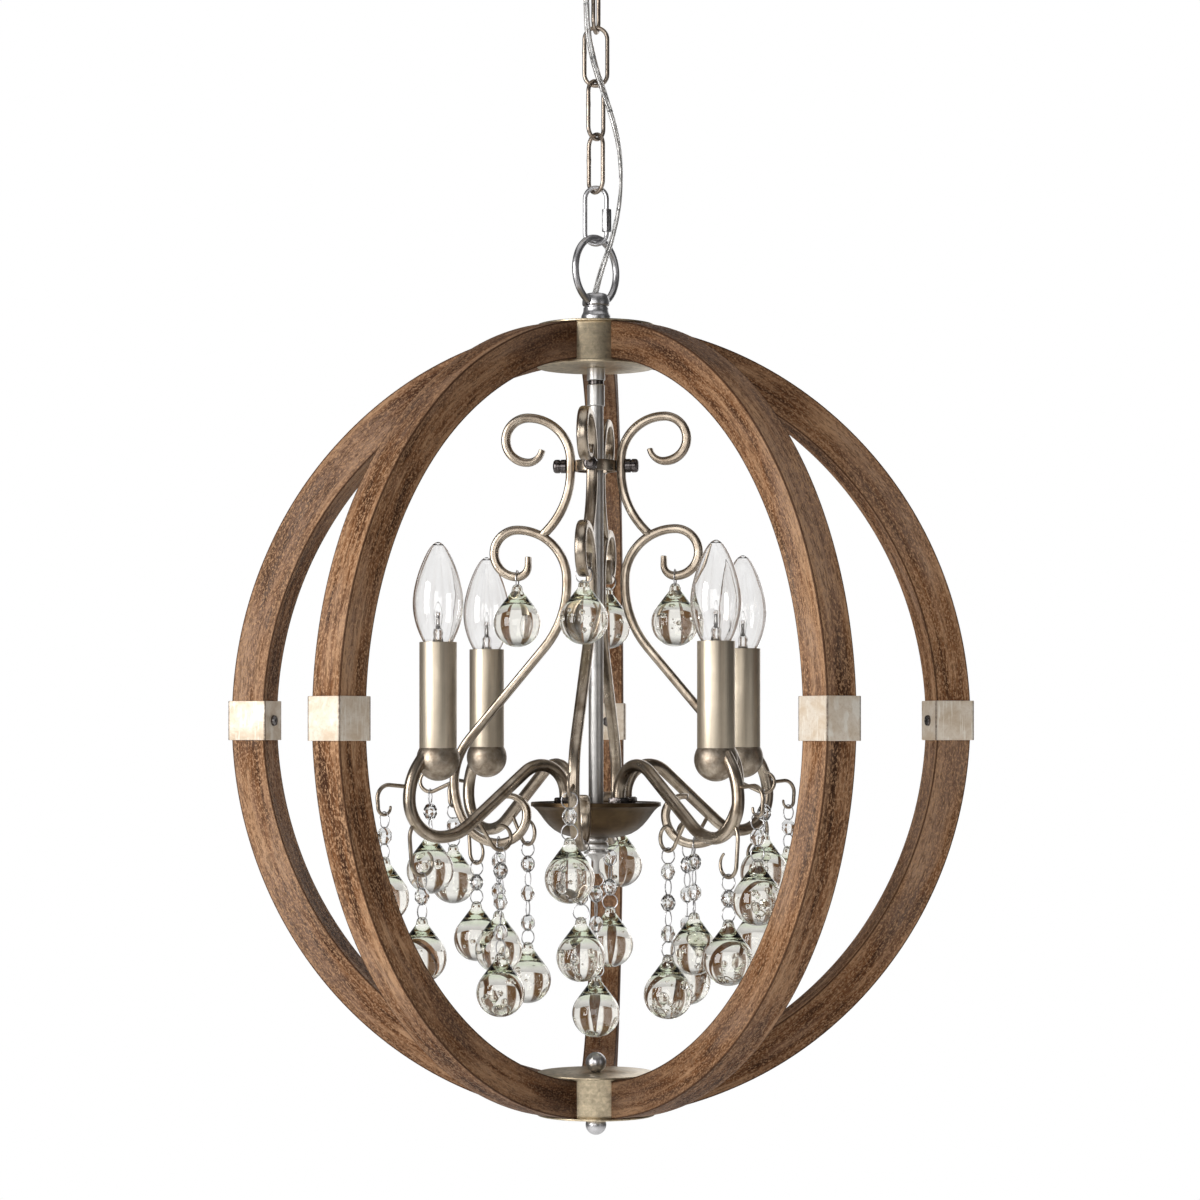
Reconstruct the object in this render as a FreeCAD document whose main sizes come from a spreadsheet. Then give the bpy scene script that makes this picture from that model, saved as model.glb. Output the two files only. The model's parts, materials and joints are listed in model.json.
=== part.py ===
import FreeCAD, Part
import math
import os

import Sketcher
from FreeCAD import Placement, Rotation, Vector

# Globe pendant light: an orb of bent wooden ribs round a candle chandelier hung with glass drops.
# Millimetres and degrees. +Z is up, and the origin is on the ceiling, on the pendant's axis.

# Driving sizes
SIZES = {
    # Ceiling fitting
    "canopy_radius": 63.5,
    "canopy_height": 25.0,
    "canopy_skirt": 6.0,
    "canopy_flat_radius": 32.0,
    "canopy_wall": 1.2,
    "crossbar_length": 104.0,
    "crossbar_width": 20.0,
    "crossbar_thickness": 2.5,
    "slot_margin": 1.55,
    "slot_length": 12.0,
    "slot_width": 4.6,
    "nipple_radius": 4.8,
    "collar_nut_radius": 13.0,
    "collar_nut_height": 7.0,
    "locknut_across": 15.0,
    "locknut_height": 4.0,
    "bushing_radius": 3.9,
    "bushing_flange": 2.1,
    "bushing_flange_height": 2.5,
    "bushing_length": 7.6,
    # Suspension
    "loop_radius": 12.5,
    "loop_wire": 2.5,
    "loop_neck_height": 4.0,
    "link_length": 44.4,
    "link_width": 19.3,
    "link_wire": 1.5,
    "quick_length": 43.7,
    "quick_width": 18.6,
    "quick_wire": 1.6,
    "quick_gap": 5.0,
    "sleeve_nut_length": 15.7,
    "sleeve_nut_across": 6.6,
    "ring_radius": 23.5,
    "ring_wire": 2.5,
    "hang_gap": 0.3,
    "cord_radius": 2.25,
    # Knuckle on the orb
    "knuckle_radius": 9.8,
    "knuckle_waist": 8.5,
    "knuckle_foot": 7.2,
    "knuckle_height": 22.8,
    "knuckle_bore_room": 0.5,
    "knuckle_bore_cover": 5.1,
    "knuckle_groove": 2.2,
    "knuckle_groove_low": 1.2,
    "knuckle_dome": 2.0,
    # Orb of ribs
    "rib_radius": 283.0,
    "rib_depth": 26.0,
    "rib_width": 24.0,
    "collar_height": 29.0,
    "collar_wall": 1.8,
    "collar_screw_radius": 4.0,
    "collar_screw_height": 1.8,
    "hub_radius": 39.0,
    "hub_lip": 3.0,
    "hub_floor": 2.0,
    "hub_wall": 1.5,
    "ball_nut_radius": 7.4,
    # Stem
    "rod_radius": 3.0,
    "upper_coupling_radius": 6.5,
    "upper_coupling_height": 9.0,
    "coupling_neck_radius": 4.0,
    "coupling_neck_height": 3.0,
    "lower_coupling_radius": 6.25,
    "lower_coupling_height": 15.4,
    "tube_radius": 5.3,
    "tube_wall": 1.3,
    # Clearances
    "seat_gap": 0.1,
    "slide_gap": 0.05,
    "rim_gap": 0.4,
    "string_gap": 0.15,
}

# Sizes of the chandelier and its glass, drawn for a globe of this inside radius; they keep their share of it
DRAWN_INSIDE_RADIUS = 257.0
CHANDELIER = {
    # Scrollwork
    "bracket_height": 181.4,
    "bracket_radius": 15.0,
    "bracket_wall": 2.0,
    "bracket_depth": 8.0,
    "bracket_web": 2.5,
    "cap_nut_radius": 4.9,
    "cap_nut_length": 9.2,
    "cap_screw_radius": 2.0,
    "scroll_thickness": 6.4,
    "scroll_width": 8.0,
    "crown_curl_tip": 10.5,
    "crown_curl": 16.0,
    "crown_shoulder": 31.0,
    "crown_run": 8.0,
    "crown_foot": 60.0,
    "crown_foot_run": 4.6,
    "neck_step": 45.2,
    "neck_reach": 21.0,
    "neck_curl_run": 6.0,
    "neck_curl_tip": 8.0,
    "neck_curl": 16.8,
    "neck_shoulder": 36.0,
    "neck_run": 3.6,
    "flare_bend": 70.0,
    "flare_run": 84.6,
    "belly_bend": 48.0,
    "belly_side": 61.0,
    "belly_floor": 28.3,
    "foot_curl": 13.5,
    "scroll_hook_run": 16.0,
    "scroll_hook_turn": 7.3,
    # Bowl and arms
    "bowl_rim_height": -58.5,
    "bowl_rim_radius": 46.5,
    "bowl_lip": 3.5,
    "bowl_depth": 25.5,
    "bowl_floor_radius": 14.0,
    "bowl_wall": 1.5,
    "bowl_shoulder_radius": 36.0,
    "bowl_shoulder_height": 9.5,
    "plate_drop": 1.0,
    "plate_thickness": 2.0,
    "finial_disc_radius": 8.5,
    "finial_disc_height": 2.4,
    "finial_body_radius": 8.6,
    "finial_body_height": 12.2,
    "finial_nib_radius": 2.2,
    "finial_nib_height": 11.0,
    "eye_width": 1.4,
    "eye_height": 2.4,
    "arm_radius": 4.4,
    "arm_root": 27.0,
    "arm_rise": 6.5,
    "arm_arch": 21.0,
    "arm_crest": 24.0,
    "arm_run": 60.0,
    "inner_hook_back": 8.0,
    "arm_dip": 38.0,
    "arm_elbow": 26.5,
    "arm_return": 40.0,
    "arm_tip_run": 8.0,
    "arm_nut_across": 14.0,
    "arm_nut_height": 4.5,
    "hook_wire": 1.4,
    # Candles
    "candle_reach": 136.0,
    "cup_radius": 15.0,
    "cup_height": -19.7,
    "sleeve_radius": 12.9,
    "sleeve_wall": 0.8,
    "sleeve_height": 73.0,
    "holder_radius": 10.5,
    "holder_recess": 5.0,
    "bulb_cap_radius": 6.9,
    "bulb_cap_height": 24.0,
    "bulb_radius": 17.5,
    "bulb_glass_height": 73.5,
    "bulb_belly_height": 27.0,
    "bulb_tip_radius": 2.2,
    # Glass strings
    "jump_ring_radius": 5.55,
    "bar_ring_radius": 5.95,
    "jump_ring_wire": 0.5,
    "bead_radius": 5.3,
    "bead_half_height": 6.2,
    "bead_end_radius": 1.6,
    "bead_eye": 5.2,
    "drop_radius": 17.0,
    "drop_height": 45.0,
    "drop_nib_radius": 3.2,
    "drop_nib_height": 4.6,
    "drop_eye": 2.3,
}

# Turns of the forged bars
TURNS = {
    "crown_foot_turn": 45.0,
    "flare_turn": 40.0,
    "belly_side_turn": 29.0,
    "foot_curl_turn": 100.0,
    "arm_slope": 37.3,
    "crown_tip_turn": 80.0,
    "scroll_hook_lean": 25.0,
    "outer_hook_at": 55.0,
    "elbow_hook_at": 12.0,
    "arm_return_turn": 37.0,
}

# Drop hooks of an arm: a heading, then runs (distance,) and bends (radius, turn)
# A string hangs where the move marked low ends
ELBOW_HOOK = (5.0, ((17.0,), (9.0, -100), (6.0,), (5.0, -85, "low"), (5.0, -95)))
OUTER_HOOK = (-60.0, ((5.0,), (14.0, -35), (17.0,), (8.6, -85, "low"), (8.6, -145)))
INNER_HOOK = (-125.0, ((23.0,), (9.0, -55, "low"), (8.7, -180), (6.0, -60)))

# Shares of a piece's own sizes that shape its profile
CANOPY_SHOULDER = (0.68, 0.42)
CANOPY_SLANT = (0.6, 0.8)
LOOP_NECK = (1.6, 2.6)
BUSHING_ROOM = 1.2
BEND_SHARE = 0.45
KNUCKLE_CROWN = 0.72
SCREW_CROWN = (0.85, 0.7)
CAP_DOME = ((1, 0.5), (0.8, 0.85), (0, 1))
BOWL_SLANT = 0.7
FINIAL_FOOT = 0.8
FINIAL_BELLY = (0.3, 0.93, 0.65)
FINIAL_NECK = 1.4
# Latitudes where the balls are cut flat, and where their caps begin
BALL_FLAT = 70.0
BALL_CROWN = 55.0
CUP_FOOT = 60.0

RIB_COUNT = 5
QUARTERS = 4
RIB_AZIMUTH = 88.0
SCROLL_AZIMUTH = -8.4
ARM_AZIMUTH = 37.0
LINK_AZIMUTHS = (77.0, 0.0, 49.0, -52.0)
RING_AZIMUTH = 52.0
CENTER_AZIMUTH = -90.0
WIRE_SIDES = 6
HOOK_SIDES = 4
CORD_SIDES = 6
JUMP_RING_SIDES = 6
BEAD_SIDES = 6
DROP_SIDES = 8
BALL_SIDES = 12
ROUND_SIDES = 16
DISH_SIDES = 32
BEND_STEP = 22.5

# Route of the power cord, from the canopy's bushing to the knuckle, in front of the chain
CORD_ROUTE = (
    (-8.5, -20.2, -23.5),
    (-8.5, -18.5, -47.6),
    (-6.8, -12.5, -71.6),
    (-6.4, -9.0, -95.6),
    (-1.0, -9.0, -121.6),
    (7.5, -10.5, -145.6),
    (15.0, -11.0, -170.6),
    (18.3, -10.5, -195.6),
    (17.0, -9.5, -221.6),
    (10.5, -8.5, -248.6),
    (3.0, -6.5, -268.6),
    (-1.0, -4.5, -285.0),
)


def work_out(given):
    """Sizes that follow from the driving ones."""
    out = {}

    def put(name, number):
        out[name] = number
        return number

    # Hanging heights, from the ceiling down
    put("canopy_hole", given["nipple_radius"] + 4 * given["seat_gap"])
    put("nipple_hole", given["nipple_radius"] + given["seat_gap"])
    put("slot_spacing", given["crossbar_length"] - given["slot_length"] - 2 * given["slot_margin"])
    put("nut_bottom", -given["canopy_height"] - given["seat_gap"] - given["collar_nut_height"])
    loop_top = put("loop_top", out["nut_bottom"] - given["seat_gap"])
    loop_center = loop_top - given["loop_neck_height"] + given["loop_wire"] - given["loop_radius"]
    put("loop_center", loop_center)
    link_span = put("link_span", given["link_length"] - 2 * given["link_wire"])
    hang = given["hang_gap"]
    first_top = loop_center - given["loop_radius"] + given["loop_wire"] + hang + given["link_wire"]
    step = link_span - 2 * given["link_wire"] - hang
    for index in range(len(LINK_AZIMUTHS)):
        put("link_top_%d" % (index + 1), first_top - index * step)
    last_bottom = out["link_top_%d" % len(LINK_AZIMUTHS)] - link_span
    put("quick_top", last_bottom + given["link_wire"] + given["quick_wire"] + hang)
    put("quick_span", given["quick_length"] - 2 * given["quick_wire"])
    quick_bottom = put("quick_bottom", out["quick_top"] - out["quick_span"])
    ring_top = quick_bottom + given["quick_wire"] + given["ring_wire"] + hang
    put("ring_center", ring_top - given["ring_radius"])
    ring_bottom = put("ring_bottom", out["ring_center"] - given["ring_radius"])

    # Orb: the knuckle stands on the top hub, which closes the ends of the ribs
    rib_inside = put("rib_inside_radius", given["rib_radius"] - given["rib_depth"])
    lip_radius = put("hub_lip_radius", given["hub_radius"] + given["hub_lip"])
    put("hub_bore", given["hub_radius"] - given["hub_wall"])
    put("hub_lid_height", math.sqrt(given["rib_radius"] ** 2 - given["hub_radius"] ** 2) + given["seat_gap"])
    put("hub_floor_height", math.sqrt(rib_inside ** 2 - lip_radius ** 2) - given["seat_gap"])
    barrel = out["hub_lid_height"] - out["hub_floor_height"]
    put("hub_barrel_height", barrel + given["hub_floor"])
    put("hub_lid_top", out["hub_lid_height"] + given["hub_wall"])
    put("rod_hole", given["rod_radius"] + given["seat_gap"])
    bore_height = given["knuckle_height"] - given["ring_wire"] - given["knuckle_bore_cover"]
    put("knuckle_bore_height", bore_height)
    put("orb_center", ring_bottom - bore_height - out["hub_lid_top"])
    bulge = rib_inside - math.sqrt(rib_inside ** 2 - given["collar_height"] ** 2 / 4)
    put("collar_inside_near", rib_inside - bulge - given["seat_gap"])
    put("collar_inside_depth", given["rib_depth"] + bulge + 2 * given["seat_gap"])
    put("collar_inside_width", given["rib_width"] + 2 * given["seat_gap"])
    put("collar_near", out["collar_inside_near"] - given["collar_wall"])
    put("collar_depth", out["collar_inside_depth"] + 2 * given["collar_wall"])
    put("collar_width", out["collar_inside_width"] + 2 * given["collar_wall"])

    # Stem and scroll bracket
    put("tube_bore", given["tube_radius"] - given["tube_wall"])
    put("coupling_height", given["upper_coupling_height"] + given["coupling_neck_height"])
    put("coupling_top", out["hub_floor_height"] - given["hub_floor"])
    put("lower_coupling_top", out["coupling_top"] - out["coupling_height"])
    put("tube_top", out["lower_coupling_top"] - given["lower_coupling_height"])
    put("bracket_bore", given["bracket_radius"] - given["bracket_wall"])
    put("bracket_sleeve_bore", given["tube_radius"] + given["seat_gap"])
    put("crown_reach", given["bracket_radius"] + given["scroll_thickness"] / 2 + given["seat_gap"])
    put("cap_nut_seat", out["crown_reach"] + given["scroll_thickness"] / 2 + given["seat_gap"])

    # Bowl and candles
    put("bowl_bottom", given["bowl_rim_height"] - given["bowl_depth"])
    put("plate_top", given["bowl_rim_height"] - given["plate_drop"])
    put("finial_body_foot", given["finial_body_radius"] * FINIAL_FOOT)
    sink = math.sqrt(given["cup_radius"] ** 2 - given["sleeve_radius"] ** 2)
    put("cup_center", given["cup_height"] - sink)
    put("cup_total", given["cup_radius"] + sink)
    put("sleeve_bore", given["sleeve_radius"] - given["sleeve_wall"])
    put("holder_height", given["sleeve_height"] - given["holder_recess"])
    put("socket_bore", given["bulb_cap_radius"] + 2 * given["slide_gap"])
    put("socket_floor", out["holder_height"] - given["bulb_cap_height"])
    put("bulb_base", given["cup_height"] + out["socket_floor"] + 10 * given["slide_gap"])
    put("bulb_shoulder", given["bulb_cap_height"] + given["bulb_belly_height"])
    put("bulb_top", given["bulb_cap_height"] + given["bulb_glass_height"])
    return out


globe_share = (SIZES["rib_radius"] - SIZES["rib_depth"]) / DRAWN_INSIDE_RADIUS
size = dict(SIZES)
size.update({name: number * globe_share for name, number in CHANDELIER.items()})
size.update(TURNS)
size.update(work_out(size))

doc = FreeCAD.newDocument("GlobePendant")
sheet = doc.addObject("Spreadsheet::Sheet", "Sizes")
for row, (alias, number) in enumerate(size.items(), start=1):
    cell = "B%d" % row
    sheet.set("A%d" % row, alias)
    sheet.set(cell, str(number))
    sheet.setAlias(cell, alias)
doc.recompute()

subparts = []


# Ways of making pieces
def bind(item, setting, alias):
    """Tie one property to a cell of the sheet."""
    item.setExpression(setting, "Sizes." + alias)


def keep(item, label):
    """List a document object as a finished sub-part."""
    item.Label = label
    subparts.append(item)
    return item


def keep_shape(label, solids):
    """Finish a sub-part from one solid or a group of separate solids."""
    item = doc.addObject("Part::Feature", label)
    item.Shape = solids[0] if len(solids) == 1 else Part.makeCompound(solids)
    return keep(item, label)


def keep_in_orb(label, solids):
    """Finish a sub-part whose solids are placed from the orb's centre."""
    return keep_shape(label, [moved(solid, 0, 0, size["orb_center"]) for solid in solids])


def at_orb(height):
    """Ceiling-frame height of a level measured from the orb's centre."""
    return size["orb_center"] + height


def turned(shape, azimuth):
    """A copy turned about the pendant's axis."""
    copy = shape.copy()
    copy.rotate(Vector(0, 0, 0), Vector(0, 0, 1), azimuth)
    return copy


def moved(shape, x, y, z):
    copy = shape.copy()
    copy.translate(Vector(x, y, z))
    return copy


def polar(radius, azimuth, height):
    angle = math.radians(azimuth)
    return Vector(radius * math.cos(angle), radius * math.sin(angle), height)


def quarter_turns(shape, azimuth):
    """Four copies, a quarter turn apart."""
    return [turned(shape, azimuth + 90.0 * index) for index in range(QUARTERS)]


def turned_body(name, outline, height=0.0):
    """Revolve a closed outline about Z; each corner is a pair of aliases for its radius and level, or 0."""
    body = doc.addObject("PartDesign::Body", name)
    plane = [item for item in body.Origin.OriginFeatures if item.Role == "XZ_Plane"][0]
    sketch = body.newObject("Sketcher::SketchObject", name + "_outline")
    sketch.AttachmentSupport = [(plane, "")]
    sketch.MapMode = "FlatFace"
    corners = [Vector(size.get(radius, 0), size.get(level, 0), 0) for radius, level in outline]
    count = len(corners)
    for index, corner in enumerate(corners):
        sketch.addGeometry(Part.LineSegment(corner, corners[(index + 1) % count]), False)
    for index in range(count):
        sketch.addConstraint(Sketcher.Constraint("Coincident", index, 2, (index + 1) % count, 1))
    for index, (radius, level) in enumerate(outline):
        for kind, alias, axis in (("DistanceX", radius, -2), ("DistanceY", level, -1)):
            if alias == 0:
                sketch.addConstraint(Sketcher.Constraint("PointOnObject", index, 1, axis))
                continue
            held = Sketcher.Constraint(kind, -1, 1, index, 1, size[alias])
            bind(sketch, "Constraints[%d]" % sketch.addConstraint(held), alias)
    revolution = body.newObject("PartDesign::Revolution", name + "_revolution")
    revolution.Profile = sketch
    revolution.ReferenceAxis = (sketch, ["V_Axis"])
    revolution.Angle = 360.0
    body.Placement = Placement(Vector(0, 0, height), Rotation())
    doc.recompute()
    return body


def cylinder(name, radius, length, height=0.0):
    """A round bar along Z whose radius and length are aliases."""
    item = doc.addObject("Part::Cylinder", name)
    bind(item, "Radius", radius)
    bind(item, "Height", length)
    item.Placement = Placement(Vector(0, 0, height), Rotation())
    return item


def box(name, length, width, depth, corner):
    """A block whose three sizes are aliases."""
    item = doc.addObject("Part::Box", name)
    bind(item, "Length", length)
    bind(item, "Width", width)
    bind(item, "Height", depth)
    item.Placement = Placement(corner, Rotation())
    return item


def cut(name, base, tool):
    item = doc.addObject("Part::Cut", name)
    item.Base = base
    item.Tool = tool
    doc.recompute()
    return item


def fuse(name, items):
    item = doc.addObject("Part::MultiFuse", name)
    item.Shapes = items
    doc.recompute()
    return item


def closed_solid(faces):
    """Sew faces into one outward-facing solid."""
    shell = Part.makeShell(faces)
    shell.sewShape()
    solid = Part.makeSolid(shell)
    if solid.Volume < 0:
        solid.reverse()
    return solid


def flat_face(points):
    return Part.Face(Part.makePolygon(points + points[:1]))


def lathe(outline, sides):
    """A faceted turning about Z from a closed outline of (radius, level) corners; radius 0 is on the axis."""
    step = 360.0 / sides
    rings = []
    for radius, level in outline:
        rings.append([polar(radius, step * (index + 0.5), level) for index in range(sides)])
    faces = []
    for ring, after, (radius, level), (next_radius, next_level) in zip(
        rings, rings[1:] + rings[:1], outline, outline[1:] + outline[:1]
    ):
        if radius == 0 and next_radius == 0:
            continue
        if level == next_level and 0 in (radius, next_radius):
            faces.append(flat_face(ring if next_radius == 0 else after))
            continue
        for index in range(sides):
            corners = [ring[index - 1], ring[index], after[index], after[index - 1]]
            if radius == 0:
                corners = corners[1:]
            elif next_radius == 0:
                corners = corners[:3]
            faces.append(flat_face(corners))
    return closed_solid(faces)


def ball_levels(radius, center, lowest, highest, count):
    """Corners up a ball's side, from one angle of latitude to another."""
    steps = [math.radians(lowest + (highest - lowest) * index / (count - 1)) for index in range(count)]
    return [(radius * math.cos(angle), center + radius * math.sin(angle)) for angle in steps]


def jump_ring(flat_radius, wire):
    """A small ring of straight sides in the YZ plane, with flat sides at the top and the bottom."""
    step = 360.0 / JUMP_RING_SIDES
    stretch = 1.0 / math.cos(math.radians(step / 2))
    section = [(flat_radius + wire * math.cos(turn), wire * math.sin(turn)) for turn in (0.0, 2.1, 4.2)]
    loops = []
    for index in range(JUMP_RING_SIDES):
        angle = math.radians(step * index)
        spoke = Vector(0, math.cos(angle), math.sin(angle)) * stretch
        loops.append([spoke * radius + Vector(side, 0, 0) for radius, side in section])
    faces = []
    for index in range(JUMP_RING_SIDES):
        for corner in range(len(section)):
            here = loops[index - 1]
            there = loops[index]
            faces.append(flat_face([here[corner - 1], here[corner], there[corner], there[corner - 1]]))
    return closed_solid(faces)


def round_section(radius, sides=WIRE_SIDES):
    """Corners of a wire's section, as (across the bend, along Y) pairs."""
    step = 2 * math.pi / sides
    return [(radius * math.cos(step * index), radius * math.sin(step * index)) for index in range(sides)]


def flat_bar_section(thickness, width):
    """Corners of a forged bar's section: flat on its bending faces and drawn to an edge at its sides."""
    half = thickness / 2
    flat = width / 4
    return [(half, flat), (half, -flat), (0, -width / 2), (-half, -flat), (-half, flat), (0, width / 2)]


class BentBar:
    """A bar bent in the XZ plane from straight runs and tangent bends, like a smith's scroll."""

    def __init__(self, start, heading, section):
        self.point = Vector(start[0], 0, start[1])
        self.heading = heading
        self.section = section
        self.rings = [self.corners()]

    def direction(self, offset=0.0):
        angle = math.radians(self.heading + offset)
        return Vector(math.cos(angle), 0, math.sin(angle))

    def corners(self):
        """The section's corners here, square to the heading."""
        left = self.direction(90)
        return [self.point + left * across + Vector(0, along, 0) for across, along in self.section]

    def run(self, distance):
        """Go straight on, and give the place reached."""
        self.point = self.point + self.direction() * distance
        self.rings.append(self.corners())
        return self.point

    def bend(self, radius, turn):
        """Turn left, or right where the turn is negative, in small steps, and give the place reached."""
        steps = math.ceil(abs(turn) / BEND_STEP)
        center = self.point + self.direction(math.copysign(90, turn)) * radius
        for index in range(steps):
            self.heading += turn / steps
            self.point = center - self.direction(math.copysign(90, turn)) * radius
            self.rings.append(self.corners())
        return self.point

    def side_faces(self, rings):
        faces = []
        for here, there in zip(rings, rings[1:]):
            for index in range(len(self.section)):
                faces.append(flat_face([here[index - 1], here[index], there[index], there[index - 1]]))
        return faces

    def solid(self):
        ends = [flat_face(self.rings[0]), flat_face(self.rings[-1])]
        return closed_solid(self.side_faces(self.rings) + ends)

    def closed(self):
        """The solid of a bar whose end has come round to its start."""
        return closed_solid(self.side_faces(self.rings[:-1] + self.rings[:1]))


def long_link(span, width, wire):
    """An oval link in the XZ plane, hanging from its top centre-line at the origin."""
    radius = width / 2 - wire
    bar = BentBar((radius, -radius), 90, round_section(wire))
    bar.bend(radius, 180)
    bar.run(span - 2 * radius)
    bar.bend(radius, 180)
    bar.run(span - 2 * radius)
    return bar.closed()


def round_ring(radius, wire, sides=WIRE_SIDES):
    """A ring in the XZ plane about the origin."""
    bar = BentBar((radius, 0), 90, round_section(wire, sides))
    bar.bend(radius, 180)
    bar.bend(radius, 180)
    return bar.closed()


def hexagon(across, height):
    """A hexagonal block along Z, by its distance across flats."""
    radius = across / math.sqrt(3)
    corners = [polar(radius, 60.0 * index, 0) for index in range(6)]
    return flat_face(corners).extrude(Vector(0, 0, height))


def round_prism(radius, height, sides=ROUND_SIDES):
    """A many-sided bar along Z that clears a round hole of its radius."""
    return lathe([(0, 0), (radius, 0), (radius, height), (0, height)], sides)


def hole_radius(radius, sides=ROUND_SIDES):
    """Corner radius of a many-sided hole whose flats clear a round bar."""
    return radius / math.cos(math.pi / sides)


def hex_nut(across, height, bore):
    return hexagon(across, height).cut(round_prism(hole_radius(bore, BALL_SIDES), height, BALL_SIDES))


# Ceiling fitting
def make_canopy():
    """Spun cover with a hole for the loop's nipple and one for the cord's bushing."""
    hole = size["canopy_hole"]
    flat = size["canopy_flat_radius"]
    radius = size["canopy_radius"]
    height = size["canopy_height"]
    wall = size["canopy_wall"]
    dome_top = height - size["canopy_skirt"]
    shoulder = (flat + (radius - flat) * CANOPY_SHOULDER[0], dome_top * CANOPY_SHOULDER[1])
    outline = [
        (hole, 0),
        (flat, 0),
        shoulder,
        (radius, dome_top),
        (radius, height),
        (radius - wall, height),
        (radius - wall, dome_top),
        (shoulder[0] - wall * CANOPY_SLANT[0], shoulder[1] + wall * CANOPY_SLANT[1]),
        (flat, wall),
        (hole, wall),
    ]
    bushing_bore = hole_radius(size["bushing_radius"] + size["seat_gap"], BALL_SIDES)
    bushing_hole = round_prism(bushing_bore, wall, BALL_SIDES)
    cover = lathe(outline, DISH_SIDES).cut(moved(bushing_hole, CORD_ROUTE[0][0], CORD_ROUTE[0][1], 0))
    keep_shape("canopy", [moved(cover, 0, 0, -height)])


def make_crossbar():
    """Flat bar behind the canopy, with a slot at each end for the ceiling box's screws."""
    top = -size["crossbar_thickness"]
    corner = Vector(-size["crossbar_length"] / 2, -size["crossbar_width"] / 2, top)
    bar = box("crossbar_blank", "crossbar_length", "crossbar_width", "crossbar_thickness", corner)
    tools = [cylinder("crossbar_nipple_hole", "nipple_hole", "crossbar_thickness", top)]
    for side in (-1, 1):
        middle = side * size["slot_spacing"] / 2
        straight = (size["slot_length"] - size["slot_width"]) / 2
        corner = Vector(middle - straight, -size["slot_width"] / 2, top)
        slot = box("slot_middle", "slot_length", "slot_width", "crossbar_thickness", corner)
        slot.setExpression("Length", "Sizes.slot_length - Sizes.slot_width")
        tools.append(slot)
        for end in (-1, 1):
            tip = cylinder("slot_end", "slot_width", "crossbar_thickness")
            tip.setExpression("Radius", "Sizes.slot_width / 2")
            tip.Placement.Base = Vector(middle + end * straight, 0, top)
            tools.append(tip)
    keep(cut("canopy_crossbar", bar, fuse("crossbar_holes", tools)), "canopy_crossbar")


def make_canopy_loop():
    """Threaded nipple with a cast loop, the collar nut under the canopy and the locknut over it."""
    nipple = moved(round_prism(size["nipple_radius"], -size["loop_top"], BALL_SIDES), 0, 0, size["loop_top"])
    neck_height = size["loop_neck_height"]
    wire = size["loop_wire"]
    neck_radius = wire * LOOP_NECK[0]
    collar_radius = wire * LOOP_NECK[1]
    neck = lathe([(0, -neck_height), (neck_radius, -neck_height), (collar_radius, 0), (0, 0)], BALL_SIDES)
    loop = moved(round_ring(size["loop_radius"], wire), 0, 0, size["loop_center"])
    keep_shape("canopy_loop", [nipple.fuse([moved(neck, 0, 0, size["loop_top"]), loop]).removeSplitter()])

    radius = size["collar_nut_radius"]
    height = size["collar_nut_height"]
    bore = hole_radius(size["nipple_hole"])
    edge = height / 4
    levels = [(bore, 0), (radius - edge, 0), (radius, edge), (radius, height), (bore, height)]
    nut = lathe(levels, ROUND_SIDES)
    locknut = hex_nut(size["locknut_across"], size["locknut_height"], size["nipple_hole"])
    drop = size["crossbar_thickness"] + size["locknut_height"]
    keep_shape("canopy_nuts", [moved(nut, 0, 0, size["nut_bottom"]), moved(locknut, 0, 0, -drop)])


def make_cord_bushing():
    """Flanged bushing that the cord comes through in the canopy's flat."""
    radius = size["bushing_radius"]
    flange = radius + size["bushing_flange"]
    head = size["bushing_flange_height"]
    bore = size["cord_radius"] * BUSHING_ROOM
    length = size["bushing_length"]
    outline = [(bore, 0), (flange - 1, 0), (flange, head), (radius, head), (radius, length), (bore, length)]
    bottom = -size["canopy_height"] - size["seat_gap"] - head
    bushing = lathe(outline, BALL_SIDES)
    keep_shape("cord_bushing", [moved(bushing, CORD_ROUTE[0][0], CORD_ROUTE[0][1], bottom)])


# Chain, quick link and ring
def make_chain():
    link = long_link(size["link_span"], size["link_width"], size["link_wire"])
    for index, azimuth in enumerate(LINK_AZIMUTHS, start=1):
        hung = moved(turned(link, azimuth), 0, 0, size["link_top_%d" % index])
        keep_shape("chain_link_%d" % index, [hung])


def make_quick_link():
    """Oval link whose gap is closed by a sleeve nut on its right side."""
    wire = size["quick_wire"]
    link = moved(long_link(size["quick_span"], size["quick_width"], wire), 0, 0, size["quick_top"])
    side = size["quick_width"] / 2 - wire
    nut_bottom = (size["quick_top"] + size["quick_bottom"] - size["sleeve_nut_length"]) / 2 - 2 * wire
    gap = size["quick_gap"]
    middle = nut_bottom + size["sleeve_nut_length"] / 2
    slit = Part.makeBox(4 * wire, 4 * wire, gap, Vector(side - 2 * wire, -2 * wire, middle - gap / 2))
    keep_shape("quick_link", [link.cut(slit)])
    nut = hex_nut(size["sleeve_nut_across"], size["sleeve_nut_length"], wire + size["slide_gap"])
    keep_shape("quick_link_nut", [moved(nut, side, 0, nut_bottom)])


def make_hanging_ring():
    ring = round_ring(size["ring_radius"], size["ring_wire"])
    keep_shape("hanging_ring", [moved(turned(ring, RING_AZIMUTH), 0, 0, size["ring_center"])])


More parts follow.
